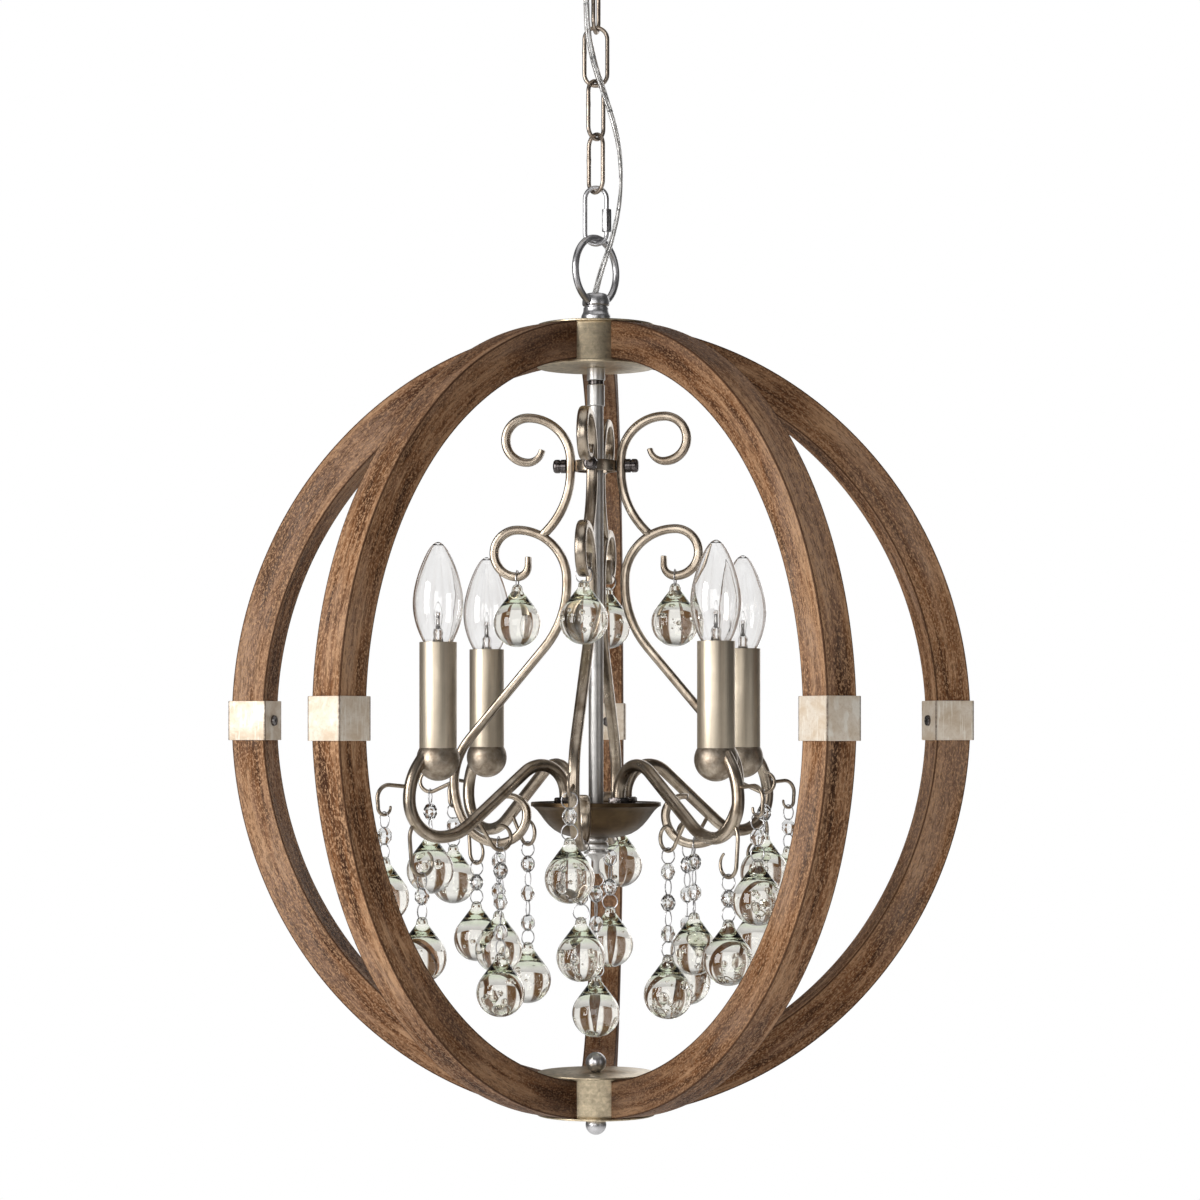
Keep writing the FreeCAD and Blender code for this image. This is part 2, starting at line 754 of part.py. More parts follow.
def cord_path():
    """Straight runs joined by tangent arcs as large as the runs allow."""
    points = [Vector(*point) for point in CORD_ROUTE]
    edges = []
    radii = []
    last = points[0]
    for before, corner, after in zip(points, points[1:], points[2:]):
        back = (before - corner).normalize()
        ahead = (after - corner).normalize()
        half_turn = (math.pi - back.getAngle(ahead)) / 2
        trim = BEND_SHARE * min((before - corner).Length, (after - corner).Length)
        radius = trim / math.tan(half_turn)
        inward = (back + ahead).normalize()
        middle = corner + inward * (radius / math.cos(half_turn) - radius)
        start = corner + back * trim
        end = corner + ahead * trim
        edges.append(Part.LineSegment(last, start).toShape())
        edges.append(Part.Arc(start, middle, end).toShape())
        radii.append(radius)
        last = end
    edges.append(Part.LineSegment(last, points[-1]).toShape())
    print("cord radii:", [round(radius) for radius in radii])
    return Part.Wire(edges)


def make_power_cord():
    path = cord_path()
    first = path.OrderedEdges[0]
    ahead = first.tangentAt(first.FirstParameter)
    across = ahead.cross(Vector(0, 1, 0)).normalize()
    along = ahead.cross(across)
    start = Vector(*CORD_ROUTE[0])
    corners = [start + across * u + along * v for u, v in round_section(size["cord_radius"], CORD_SIDES)]
    section = Part.makePolygon(corners + corners[:1])
    cord = path.makePipeShell([section], True, False)
    expected = Part.Face(section).Area * path.Length
    print("cord length %.1f, volume over section times length %.4f" % (path.Length, cord.Volume / expected))
    keep_shape("power_cord", [cord])


# Orb
def make_knuckle():
    """Turned knuckle on the top hub, cross-bored on the ring's curve, with the cord's hole in its top."""
    height = size["knuckle_height"]
    waist_top = size["knuckle_foot"] + size["knuckle_groove"]
    dome_start = height - size["knuckle_dome"]
    outline = [
        (0, 0),
        (size["knuckle_radius"], 0),
        (size["knuckle_radius"], size["knuckle_foot"]),
        (size["knuckle_waist"], size["knuckle_foot"] + size["knuckle_groove_low"]),
        (size["knuckle_radius"], waist_top),
        (size["knuckle_radius"], dome_start),
        (size["knuckle_radius"] * KNUCKLE_CROWN, height),
        (0, height),
    ]
    base = at_orb(size["hub_lid_top"])
    knuckle = moved(lathe(outline, ROUND_SIDES), 0, 0, base)
    room = size["knuckle_bore_room"]
    bore = round_ring(size["ring_radius"], hole_radius(size["ring_wire"] + room, BALL_SIDES), BALL_SIDES)
    bore.translate(Vector(0, 0, size["ring_center"] - room + size["hang_gap"]))
    rod_depth = size["knuckle_foot"] + size["seat_gap"]
    rod_hole = moved(round_prism(size["rod_hole"], rod_depth, BALL_SIDES), 0, 0, base)
    tail = Vector(*CORD_ROUTE[-1])
    lead = Vector(*CORD_ROUTE[-2]) - tail
    gland_radius = size["cord_radius"] + size["hang_gap"]
    length = lead.Length
    gland = Part.makeCylinder(gland_radius, length, tail - lead.normalize(), lead)
    keep_shape("loop_knuckle", [knuckle.cut([turned(bore, RING_AZIMUTH), rod_hole, gland])])


def make_hubs():
    """Spools that hold the ribs' ends, top and bottom: a cup with a lipped floor, and a lid plate."""
    cup_outline = [
        ("rod_hole", 0),
        ("hub_lip_radius", 0),
        ("hub_lip_radius", "hub_floor"),
        ("hub_radius", "hub_floor"),
        ("hub_radius", "hub_barrel_height"),
        ("hub_bore", "hub_barrel_height"),
        ("hub_bore", "hub_floor"),
        ("rod_hole", "hub_floor"),
    ]
    lid_outline = [
        ("rod_hole", 0),
        ("hub_lip_radius", 0),
        ("hub_lip_radius", "hub_wall"),
        ("rod_hole", "hub_wall"),
    ]
    cup = turned_body("hub_cup", cup_outline, size["hub_floor_height"] - size["hub_floor"]).Shape
    lid = turned_body("hub_lid", lid_outline, size["hub_lid_height"]).Shape
    upper = [cup.copy(), lid.copy()]
    lower = [shape.mirror(Vector(0, 0, 0), Vector(0, 0, 1)) for shape in upper]
    keep_shape("rib_hubs", [moved(shape, 0, 0, size["orb_center"]) for shape in upper + lower])


def make_ribs():
    """Bent ribs: an upper and a lower arc each, from the collar at mid-height to a hub."""
    body = doc.addObject("PartDesign::Body", "rib_blank")
    plane = [item for item in body.Origin.OriginFeatures if item.Role == "XZ_Plane"][0]
    sketch = body.newObject("Sketcher::SketchObject", "rib_outline")
    sketch.AttachmentSupport = [(plane, "")]
    sketch.MapMode = "FlatFace"
    reach = size["hub_radius"] / 2
    arcs = []
    for alias in ("rib_radius", "rib_inside_radius"):
        radius = size[alias]
        circle = Part.Circle(Vector(0, 0, 0), Vector(0, 0, 1), radius)
        arc = sketch.addGeometry(Part.ArcOfCircle(circle, 0, math.acos(reach / radius)), False)
        arcs.append(arc)
        sketch.addConstraint(Sketcher.Constraint("Coincident", arc, 3, -1, 1))
        number = sketch.addConstraint(Sketcher.Constraint("Radius", arc, radius))
        bind(sketch, "Constraints[%d]" % number, alias)
        sketch.addConstraint(Sketcher.Constraint("PointOnObject", arc, 1, -1))
    for end in (1, 2):
        points = [sketch.getPoint(arc, end) for arc in arcs]
        line = sketch.addGeometry(Part.LineSegment(points[0], points[1]), False)
        sketch.addConstraint(Sketcher.Constraint("Coincident", line, 1, arcs[0], end))
        sketch.addConstraint(Sketcher.Constraint("Coincident", line, 2, arcs[1], end))
    sketch.addConstraint(Sketcher.Constraint("Vertical", line))
    number = sketch.addConstraint(Sketcher.Constraint("DistanceX", -1, 1, line, 1, reach))
    sketch.setExpression("Constraints[%d]" % number, "Sizes.hub_radius / 2")
    pad = body.newObject("PartDesign::Pad", "rib_pad")
    pad.Profile = sketch
    bind(pad, "Length", "rib_width")
    pad.Midplane = True
    doc.recompute()

    seat = Part.makeCylinder(size["hub_radius"] + size["seat_gap"], size["rib_radius"])
    upper = body.Shape.cut(seat)
    lower = upper.mirror(Vector(0, 0, 0), Vector(0, 0, 1))
    step = 360.0 / RIB_COUNT
    azimuths = [RIB_AZIMUTH + step * index for index in range(RIB_COUNT)]
    arcs = [turned(half, azimuth) for azimuth in azimuths for half in (upper, lower)]
    keep_in_orb("rib_arcs", arcs)

    corner = Vector(size["collar_near"], -size["collar_width"] / 2, -size["collar_height"] / 2)
    block = box("collar_block", "collar_depth", "collar_width", "collar_height", corner)
    inside_corner = Vector(size["collar_inside_near"], -size["collar_inside_width"] / 2, corner.z)
    inside_sizes = ("collar_inside_depth", "collar_inside_width", "collar_height")
    inside = box("collar_inside", *inside_sizes, inside_corner)
    collar = cut("collar_blank", block, inside).Shape
    keep_in_orb("rib_collars", [turned(collar, azimuth) for azimuth in azimuths])

    radius = size["collar_screw_radius"]
    rise = size["collar_screw_height"]
    crown = (radius * SCREW_CROWN[0], rise * SCREW_CROWN[1])
    head = lathe([(0, 0), (radius, 0), crown, (0, rise)], BALL_SIDES)
    head.rotate(Vector(0, 0, 0), Vector(0, 1, 0), -90)
    head.translate(Vector(size["collar_near"], 0, 0))
    keep_in_orb("collar_screws", [turned(head, azimuth) for azimuth in azimuths])


def make_ball_nuts():
    """Ball nut inside the bottom hub, and the ball finial whose stud it holds."""
    radius = size["ball_nut_radius"]
    floor = -size["hub_floor_height"] + size["hub_floor"]
    lid = -size["hub_lid_top"]
    rest = radius * math.sin(math.radians(BALL_FLAT))
    nut_center = floor + rest
    finial_center = lid - rest
    bore = hole_radius(size["rod_hole"], BALL_SIDES)
    stud = size["rod_radius"]
    stud_top = nut_center + rest / 2
    nut_side = ball_levels(radius, nut_center, -BALL_FLAT, BALL_CROWN, 5)
    nut_top = [(0, nut_center + radius), (0, stud_top), (bore, stud_top)]
    nut = lathe([(bore, nut_side[0][1])] + nut_side + nut_top, BALL_SIDES)
    finial_side = ball_levels(radius, finial_center, -BALL_CROWN, BALL_FLAT, 5)
    finial_stud = [(stud, finial_side[-1][1]), (stud, stud_top), (0, stud_top)]
    finial = lathe([(0, finial_center - radius)] + finial_side + finial_stud, BALL_SIDES)
    keep_in_orb("hub_ball_nuts", [nut, finial])


# Stem
def make_stem():
    """Threaded rod from the knuckle to the bowl's finial, in couplings and a cover tube."""
    top = size["hub_lid_top"] + size["knuckle_foot"]
    bottom = size["bowl_bottom"] - size["finial_disc_height"]
    rod = round_prism(size["rod_radius"], top - bottom, BALL_SIDES)
    keep_shape("stem_rod", [moved(rod, 0, 0, at_orb(bottom))])

    neck_outline = [
        ("rod_hole", 0),
        ("coupling_neck_radius", 0),
        ("coupling_neck_radius", "coupling_neck_height"),
        ("upper_coupling_radius", "coupling_neck_height"),
        ("upper_coupling_radius", "coupling_height"),
        ("rod_hole", "coupling_height"),
    ]
    upper = turned_body("upper_coupling", neck_outline, at_orb(size["lower_coupling_top"])).Shape
    lower_outline = [
        ("rod_hole", 0),
        ("lower_coupling_radius", 0),
        ("lower_coupling_radius", "lower_coupling_height"),
        ("rod_hole", "lower_coupling_height"),
    ]
    lower = turned_body("lower_coupling", lower_outline, at_orb(size["tube_top"])).Shape
    length = size["tube_top"] - size["plate_top"]
    radius = size["tube_radius"]
    bore = size["tube_bore"]
    tube = lathe([(bore, 0), (radius, 0), (radius, length), (bore, length)], BALL_SIDES)
    keep_shape("stem_covers", [upper.copy(), lower.copy(), moved(tube, 0, 0, at_orb(size["plate_top"]))])


# Scrollwork
def crown_scroll():
    """Upper C scroll, bent from its foot up past the bracket and round to the curl's tip."""
    turn = size["crown_foot_turn"]
    foot = size["crown_foot"]
    angle = math.radians(turn)
    run = size["crown_foot_run"]
    start = (
        size["crown_reach"] + foot * (1 - math.cos(angle)) + run * math.sin(angle),
        size["bracket_height"] - size["crown_run"] / 2 - foot * math.sin(angle) - run * math.cos(angle),
    )
    bar = BentBar(start, 90 + turn, flat_bar_section(size["scroll_thickness"], size["scroll_width"]))
    bar.run(run)
    bar.bend(foot, -turn)
    bar.run(size["crown_run"])
    bar.bend(size["crown_shoulder"], -90)
    bar.bend(size["crown_curl"], -180)
    bar.bend(size["crown_curl_tip"], -size["crown_tip_turn"])
    return bar.solid()


def body_scroll():
    """Lower S scroll, from its neck curl down past the bowl; gives the solid and where things hang."""
    top = size["bracket_height"] - size["neck_step"]
    curl_bottom = top - 2 * size["neck_curl"]
    shoulder = size["neck_reach"] + size["neck_shoulder"]
    start = (shoulder - size["neck_curl_tip"], curl_bottom + size["neck_curl_tip"] + size["neck_curl_run"])
    bar = BentBar(start, -90, flat_bar_section(size["scroll_thickness"], size["scroll_width"]))
    bar.run(size["neck_curl_run"])
    neck_hang = bar.bend(size["neck_curl_tip"], 90)
    bar.bend(size["neck_curl"], 180)
    bar.bend(size["neck_shoulder"], 90)
    bar.run(size["neck_run"])
    bar.bend(size["flare_bend"], size["flare_turn"])
    bar.run(size["flare_run"])
    hook_root = bar.bend(size["belly_bend"], -size["flare_turn"])
    bar.bend(size["belly_side"], -size["belly_side_turn"])
    foot_hang = bar.bend(size["belly_floor"], size["belly_side_turn"] - 90)
    clear_of_bowl = size["bowl_rim_radius"] + size["scroll_thickness"] / 2 + size["rim_gap"]
    bar.bend(foot_hang.x - clear_of_bowl, -90)
    bar.bend(size["foot_curl"], -size["foot_curl_turn"])
    return bar.solid(), neck_hang, hook_root, foot_hang


def make_scrolls():
    """Four forged scrolls on a bracket ring, each with a drop hook, held by cap nuts."""
    body, neck_hang, hook_root, foot_hang = body_scroll()
    lean = size["scroll_hook_lean"]
    hook = BentBar((hook_root.x, hook_root.z), -lean, round_section(size["hook_wire"], HOOK_SIDES))
    hook.run(size["scroll_hook_run"])
    hook_hang = hook.bend(size["scroll_hook_turn"], lean)
    hook.bend(size["scroll_hook_turn"], 180)
    screw_length = size["cap_nut_seat"] - size["bracket_bore"]
    level = size["bracket_height"]
    head_start = Vector(size["bracket_bore"], 0, level)

    def screw_bar(radius):
        """A screw's shank from inside the bracket ring out through the scroll."""
        bar = round_prism(radius, screw_length, WIRE_SIDES)
        bar.rotate(Vector(0, 0, 0), Vector(0, 1, 0), 90)
        bar.translate(head_start)
        return bar

    hole = screw_bar(size["cap_screw_radius"] + size["seat_gap"])
    scroll = crown_scroll().fuse([body, hook.solid()]).removeSplitter().cut(hole)
    keep_in_orb("scrolls", quarter_turns(scroll, SCROLL_AZIMUTH))

    low = level - size["bracket_depth"] / 2
    high = level + size["bracket_depth"] / 2
    web_low = level - size["bracket_web"] / 2
    web_high = level + size["bracket_web"] / 2
    sleeve_bore = hole_radius(size["bracket_sleeve_bore"])
    ring = lathe(
        [
            (sleeve_bore, web_low),
            (size["bracket_bore"], web_low),
            (size["bracket_bore"], low),
            (size["bracket_radius"], low),
            (size["bracket_radius"], high),
            (size["bracket_bore"], high),
            (size["bracket_bore"], web_high),
            (sleeve_bore, web_high),
        ],
        ROUND_SIDES,
    )
    bracket = ring.cut(quarter_turns(hole, SCROLL_AZIMUTH))
    keep_in_orb("scroll_bracket", [bracket])

    radius = size["cap_nut_radius"]
    length = size["cap_nut_length"]
    dome = [(radius * reach, length * rise) for reach, rise in CAP_DOME]
    cap = lathe([(0, 0), (radius, 0)] + dome, WIRE_SIDES)
    cap.rotate(Vector(0, 0, 0), Vector(0, 1, 0), 90)
    cap.translate(Vector(size["cap_nut_seat"], 0, level))
    screw = screw_bar(size["cap_screw_radius"])
    cap_nuts = quarter_turns(cap.fuse(screw).removeSplitter(), SCROLL_AZIMUTH)

    arm_nut = hex_nut(size["arm_nut_across"], size["arm_nut_height"], size["arm_radius"] + size["seat_gap"])
    arm_nuts = quarter_turns(moved(arm_nut, size["arm_root"], 0, size["plate_top"]), ARM_AZIMUTH)
    keep_in_orb("fixing_nuts", cap_nuts + arm_nuts)
    return neck_hang, hook_hang, foot_hang


# Bowl, arms and candles
def make_bowl():
    """Spun bowl round the arms' feet, with the plate that carries them, and the finial that holds both up."""
    bore = hole_radius(size["rod_hole"], DISH_SIDES)
    floor = size["bowl_floor_radius"]
    shoulder = size["bowl_shoulder_radius"]
    shoulder_height = size["bowl_shoulder_height"]
    rim = size["bowl_rim_radius"]
    depth = size["bowl_depth"]
    wall = size["bowl_wall"]
    lip = depth - size["bowl_lip"]
    outline = [
        (bore, 0),
        (floor, 0),
        (shoulder, shoulder_height),
        (rim, lip),
        (rim, depth),
        (rim - wall, depth),
        (rim - wall, lip),
        (shoulder - wall * BOWL_SLANT, shoulder_height + wall * BOWL_SLANT),
        (floor, wall),
        (bore, wall),
    ]
    keep_shape("bowl", [moved(lathe(outline, DISH_SIDES), 0, 0, at_orb(size["bowl_bottom"]))])

    rim = rim - wall - size["seat_gap"]
    thickness = size["plate_thickness"]
    plate = lathe([(bore, 0), (rim, 0), (rim, thickness), (bore, thickness)], DISH_SIDES)
    keep_shape("arm_plate", [moved(plate, 0, 0, at_orb(size["plate_top"]) - thickness)])

    disc = size["finial_disc_radius"]
    body = size["finial_body_radius"]
    nib = size["finial_nib_radius"]
    disc_height = size["finial_disc_height"]
    body_height = size["finial_body_height"]
    bore = hole_radius(size["rod_hole"], BALL_SIDES)
    bore_end = -disc_height - size["seat_gap"]
    levels = [
        (0, bore_end),
        (bore, bore_end),
        (bore, 0),
        (disc, 0),
        (disc, -disc_height),
        (size["finial_body_foot"], -disc_height),
        (body, -disc_height - body_height * FINIAL_BELLY[0]),
        (body * FINIAL_BELLY[1], -disc_height - body_height * FINIAL_BELLY[2]),
        (nib * FINIAL_NECK, -disc_height - body_height),
        (nib, -disc_height - body_height - nib),
        (nib, -disc_height - body_height - size["finial_nib_height"]),
        (0, -disc_height - body_height - size["finial_nib_height"]),
    ]
    finial = lathe(levels, BALL_SIDES)
    eye = size["eye_width"]
    tall = size["eye_height"]
    eye_level = levels[-1][1] + eye * 1.5
    slot = Part.makeBox(4 * nib, eye, tall, Vector(-2 * nib, -eye / 2, eye_level - tall / 2))
    height = at_orb(size["bowl_bottom"]) - size["seat_gap"]
    keep_shape("bowl_finial", [moved(finial.cut(slot), 0, 0, height)])
    return Vector(0, 0, size["bowl_bottom"] - size["seat_gap"] + eye_level)


def arm_hook(root, drawn):
    """A drop hook of round wire; gives its solid and the lowest place, reached by the move marked low."""
    hook = BentBar((root.x, root.z), drawn[0], round_section(size["hook_wire"], HOOK_SIDES))
    low = root
    for move in drawn[1]:
        reach = move[0] * globe_share
        place = hook.run(reach) if len(move) == 1 else hook.bend(reach, move[1])
        if len(move) == 3:
            low = place
    return hook.solid(), low


def make_arms():
    """Four S-bent arms from the bowl's plate to the candle cups, with three drop hooks on each."""
    slope = size["arm_slope"]
    bar = BentBar((size["arm_root"], size["plate_top"]), 90, round_section(size["arm_radius"]))
    bar.run(size["arm_rise"])
    bar.bend(size["arm_arch"], -90)
    bar.bend(size["arm_crest"], -slope)
    inner_root = bar.run(size["arm_run"] - size["inner_hook_back"])
    bar.run(size["inner_hook_back"])
    bar.bend(size["arm_dip"], slope)
    outer_root = bar.bend(size["arm_elbow"], size["outer_hook_at"])
    bar.bend(size["arm_elbow"], 90 - size["outer_hook_at"])
    elbow_root = bar.bend(size["arm_return"], size["elbow_hook_at"])
    bar.bend(size["arm_return"], size["arm_return_turn"] - size["elbow_hook_at"])
    bar.run(size["arm_tip_run"])
    arm = bar.solid()
    elbow, elbow_hang = arm_hook(elbow_root, ELBOW_HOOK)
    outer, outer_hang = arm_hook(outer_root, OUTER_HOOK)
    inner, inner_hang = arm_hook(inner_root, INNER_HOOK)
    dressed = arm.fuse([elbow, outer, inner]).removeSplitter()
    keep_in_orb("candle_arms", quarter_turns(dressed, ARM_AZIMUTH))
    make_candles(dressed)
    return elbow_hang, outer_hang, inner_hang


def make_candles(arm):
    """Ball cups on the arms' tips, with candle sleeves, lamp holders and clear bulbs."""
    reach = size["candle_reach"]
    rim_angle = math.degrees(math.asin((size["cup_height"] - size["cup_center"]) / size["cup_radius"]))
    side = ball_levels(size["cup_radius"], size["cup_center"], -CUP_FOOT, rim_angle, 5)
    foot = (0, size["cup_center"] - size["cup_radius"])
    ball = lathe([foot] + side + [(0, size["cup_height"])], BALL_SIDES)
    cup = moved(ball, reach, 0, 0).cut(arm)

    seat = size["cup_height"]
    bore = size["sleeve_bore"]
    outside = size["sleeve_radius"]
    height = size["sleeve_height"]
    sleeve = lathe([(bore, 0), (outside, 0), (outside, height), (bore, height)], ROUND_SIDES)
    outside = size["holder_radius"]
    height = size["holder_height"]
    floor = size["socket_floor"]
    bore = hole_radius(size["socket_bore"], BALL_SIDES)
    outline = [(0, 0), (outside, 0), (outside, height), (bore, height), (bore, floor), (0, floor)]
    holder = moved(lathe(outline, BALL_SIDES), reach, 0, seat)
    sleeve = moved(sleeve, reach, 0, seat)
    for label, piece in (("candle_cups", cup), ("candle_sleeves", sleeve), ("lamp_holders", holder)):
        keep_in_orb(label, quarter_turns(piece, ARM_AZIMUTH))

    bulb = moved(bulb_solid(), reach, 0, size["bulb_base"])
    for index, shape in enumerate(quarter_turns(bulb, ARM_AZIMUTH), start=1):
        keep_in_orb("bulb_%d" % index, [shape])


def bulb_solid():
    """Candle bulb: a screw cap, a swelling glass and a drawn tip, standing on its cap at the origin."""
    cap = size["bulb_cap_radius"]
    cap_height = size["bulb_cap_height"]
    belly = size["bulb_radius"]
    shoulder = size["bulb_shoulder"]
    tip = size["bulb_tip_radius"]
    top = size["bulb_top"]
    outline = [(0, 0), (cap, 0), (cap, cap_height)]
    for share in (0.3, 0.65, 1.0):
        swell = math.sin(math.radians(90.0 * share))
        outline.append((cap + (belly - cap) * swell, cap_height + (shoulder - cap_height) * share))
    for share in (0.3, 0.6, 0.82):
        taper = math.cos(math.radians(90.0 * share))
        outline.append((tip + (belly - tip) * taper, shoulder + (top - shoulder) * share))
    outline += [(tip, top), (0, top)]
    return lathe(outline, BALL_SIDES)


# Glass strings
def make_bead():
    """Faceted bead, drawn to a small flat at each end."""
    half = size["bead_half_height"]
    end = size["bead_end_radius"]
    return lathe([(0, -half), (end, -half), (size["bead_radius"], 0), (end, half), (0, half)], BEAD_SIDES)


def make_drop():
    """Blown drop: a ball drawn up to a nib, its nib's top at the origin."""
    nib = size["drop_nib_radius"]
    center = size["drop_radius"] - size["drop_height"]
    side = ball_levels(size["drop_radius"], center, -45.0, 45.0, 3)
    outline = [(0, -size["drop_height"])] + side + [(nib, -size["drop_nib_height"]), (nib * 0.8, 0), (0, 0)]
    return lathe(outline, DROP_SIDES)


class GlassString:
    """Jump rings, beads and a drop, hanging below a hook's wire at the origin."""

    def __init__(self):
        self.bead = make_bead()
        self.drop = make_drop()
        wire = size["jump_ring_wire"]
        self.rings = {name: jump_ring(size[name], wire) for name in ("jump_ring_radius", "bar_ring_radius")}

    def solid(self, ring_name, hook_reach, beads):
        """One string whose first ring is hooked over a wire that reaches hook_reach above its centre."""
        radius = size[ring_name]
        center = hook_reach + size["string_gap"] + size["jump_ring_wire"] - radius
        pieces = [moved(self.rings[ring_name], 0, 0, center)]
        low = center - radius
        radius = size["jump_ring_radius"]
        for index in range(beads):
            bead_center = low - size["bead_eye"]
            pieces.append(moved(self.bead, 0, 0, bead_center))
            ring_top = bead_center - size["bead_eye"]
            pieces.append(moved(self.rings["jump_ring_radius"], 0, 0, ring_top - radius))
            low = ring_top - 2 * radius
        pieces.append(moved(self.drop, 0, 0, low + size["drop_eye"]))
        return pieces[0].fuse(pieces[1:])


def bar_reach():
    """How far a ring's hang point stands above the centre of a scroll's bar inside it."""
    inside = size["bar_ring_radius"] - size["jump_ring_wire"] - size["string_gap"]
    corner = size["scroll_width"] / 4
    sagging = inside - math.sqrt(inside ** 2 - corner ** 2)
    return sagging + size["scroll_thickness"] / 2


def make_strings(hangs):
    """One node for each string, named for the hook that carries it."""
    maker = GlassString()
    for label, place, azimuth, ring_name, reach, beads in hangs:
        string = maker.solid(ring_name, reach, beads)
        for index in range(QUARTERS if place.x else 1):
            turn = azimuth + 90.0 * index
            where = polar(place.x, turn, at_orb(place.z))
            name = "%s_%d" % (label, index + 1) if place.x else label
            keep_shape(name, [moved(turned(string, turn), where.x, where.y, where.z)])
            print("hang", name, [round(value, 3) for value in where], "azimuth", turn)


def check_and_write():
    """Stop on any failed object, then write each sub-part."""
    doc.recompute()
    for item in doc.Objects:
        if "Invalid" in item.State or "Error" in item.State:
            raise RuntimeError("failed object: " + item.Label)
    for item in subparts:
        shape = item.Shape
        if shape.isNull() or not shape.isValid() or not shape.Solids:
            raise RuntimeError("bad shape: " + item.Label)
        if min(solid.Volume for solid in shape.Solids) <= 0:
            raise RuntimeError("inside-out shape: " + item.Label)
    os.makedirs("parts", exist_ok=True)
    for item in subparts:
        item.Shape.exportStep(os.path.join("parts", item.Label + ".step"))
    print(len(subparts), "sub-parts written")


def main():
    make_canopy()
    make_crossbar()
    make_canopy_loop()
    make_cord_bushing()
    make_chain()
    make_quick_link()
    make_hanging_ring()
    make_power_cord()
    make_knuckle()
    make_hubs()
    make_ribs()
    make_ball_nuts()
    make_stem()
    neck_hang, hook_hang, foot_hang = make_scrolls()
    finial_hang = make_bowl()
    elbow_hang, outer_hang, inner_hang = make_arms()
    wire = size["hook_wire"]
    eye = -(size["eye_height"] + size["eye_width"]) / 4
    hangs = (
        ("upper_drop", neck_hang, SCROLL_AZIMUTH, "bar_ring_radius", bar_reach(), 0),
        ("scroll_drop", hook_hang, SCROLL_AZIMUTH, "jump_ring_radius", wire, 1),
        ("loop_drop", foot_hang, SCROLL_AZIMUTH, "bar_ring_radius", bar_reach(), 2),
        ("elbow_drop", elbow_hang, ARM_AZIMUTH, "jump_ring_radius", wire, 1),
        ("outer_drop", outer_hang, ARM_AZIMUTH, "jump_ring_radius", wire, 1),
        ("inner_drop", inner_hang, ARM_AZIMUTH, "jump_ring_radius", wire, 3),
        ("center_drop", finial_hang, CENTER_AZIMUTH, "jump_ring_radius", eye, 3),
    )
    make_strings(hangs)
    check_and_write()


main()
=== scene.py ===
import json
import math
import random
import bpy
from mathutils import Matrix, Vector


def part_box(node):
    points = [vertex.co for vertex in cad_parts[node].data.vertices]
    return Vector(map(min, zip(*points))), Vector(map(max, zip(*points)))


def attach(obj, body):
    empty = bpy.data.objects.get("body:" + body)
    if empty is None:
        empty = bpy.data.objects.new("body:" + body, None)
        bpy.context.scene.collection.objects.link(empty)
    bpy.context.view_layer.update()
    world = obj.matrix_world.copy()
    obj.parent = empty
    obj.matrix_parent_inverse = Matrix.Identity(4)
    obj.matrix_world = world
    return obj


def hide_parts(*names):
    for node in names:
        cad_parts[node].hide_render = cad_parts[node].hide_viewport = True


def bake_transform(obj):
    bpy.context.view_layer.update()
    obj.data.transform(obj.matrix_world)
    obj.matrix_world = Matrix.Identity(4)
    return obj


bl_info = {
    "name": "Globe pendant light",
    "version": (1, 0, 0),
    "blender": (4, 5, 0),
    "location": "View3D > Sidebar > Pendant",
    "description": "Dresses a globe pendant light: wooden ribs, scrolls, candle arms and strings of glass",
    "category": "Add Mesh",
}

import bpy
from bpy.props import FloatProperty, FloatVectorProperty, IntProperty, PointerProperty
from bpy.types import Operator, Panel, PropertyGroup
from mathutils import Matrix, Vector, noise

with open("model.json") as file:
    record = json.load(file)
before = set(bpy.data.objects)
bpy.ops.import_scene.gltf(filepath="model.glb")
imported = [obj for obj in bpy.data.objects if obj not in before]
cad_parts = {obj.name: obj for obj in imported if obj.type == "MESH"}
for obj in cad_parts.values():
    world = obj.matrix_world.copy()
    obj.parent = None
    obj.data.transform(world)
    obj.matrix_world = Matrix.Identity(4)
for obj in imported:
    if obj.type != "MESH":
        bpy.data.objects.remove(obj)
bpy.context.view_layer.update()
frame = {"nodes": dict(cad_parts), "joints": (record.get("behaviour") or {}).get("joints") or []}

# Places that the frame gives
JOINTS = {joint["child"]: joint for joint in frame["joints"]}
ORB_CENTER = sum(corner.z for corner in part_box("rib_collars")) / 2
TO_ORB = Matrix.Translation((0, 0, ORB_CENTER))

# How the repeated pieces are turned round the pendant's axis, in degrees
RIB_AZIMUTHS = (88, 160, 232, 304, 376)
SCROLL_AZIMUTHS = (-8.4, 81.6, 171.6, 261.6)
ARM_AZIMUTHS = (37, 127, 217, 307)
LINK_AZIMUTHS = (77, 0, 49, -52)
RING_AZIMUTH = 52

# Forged bars in a plane through the axis: a start in metres, a heading in degrees,
# then runs (distance,) and bends (radius, turn)
CROWN = (
    (0.03913, 0.13172),
    135,
    ((0.0046,), (0.060, -45), (0.008,), (0.031, -90), (0.016, -180), (0.0105, -80)),
)
BODY = (
    (0.049, 0.1166),
    -90,
    (
        (0.006,), (0.008, 90), (0.0168, 180), (0.036, 90), (0.0036,), (0.070, 40),
        (0.0846,), (0.048, -40), (0.061, -29), (0.0283, -61), (0.02049, -90), (0.0135, -100),
    ),
)
ARM_FOOT = 0.027
ARM_MOVES = (
    (0.0065,), (0.021, -90), (0.024, -37.3), (0.052,), (0.008,), (0.038, 37.3),
    (0.0265, 55), (0.0265, 35), (0.040, 12), (0.040, 25), (0.008,),
)
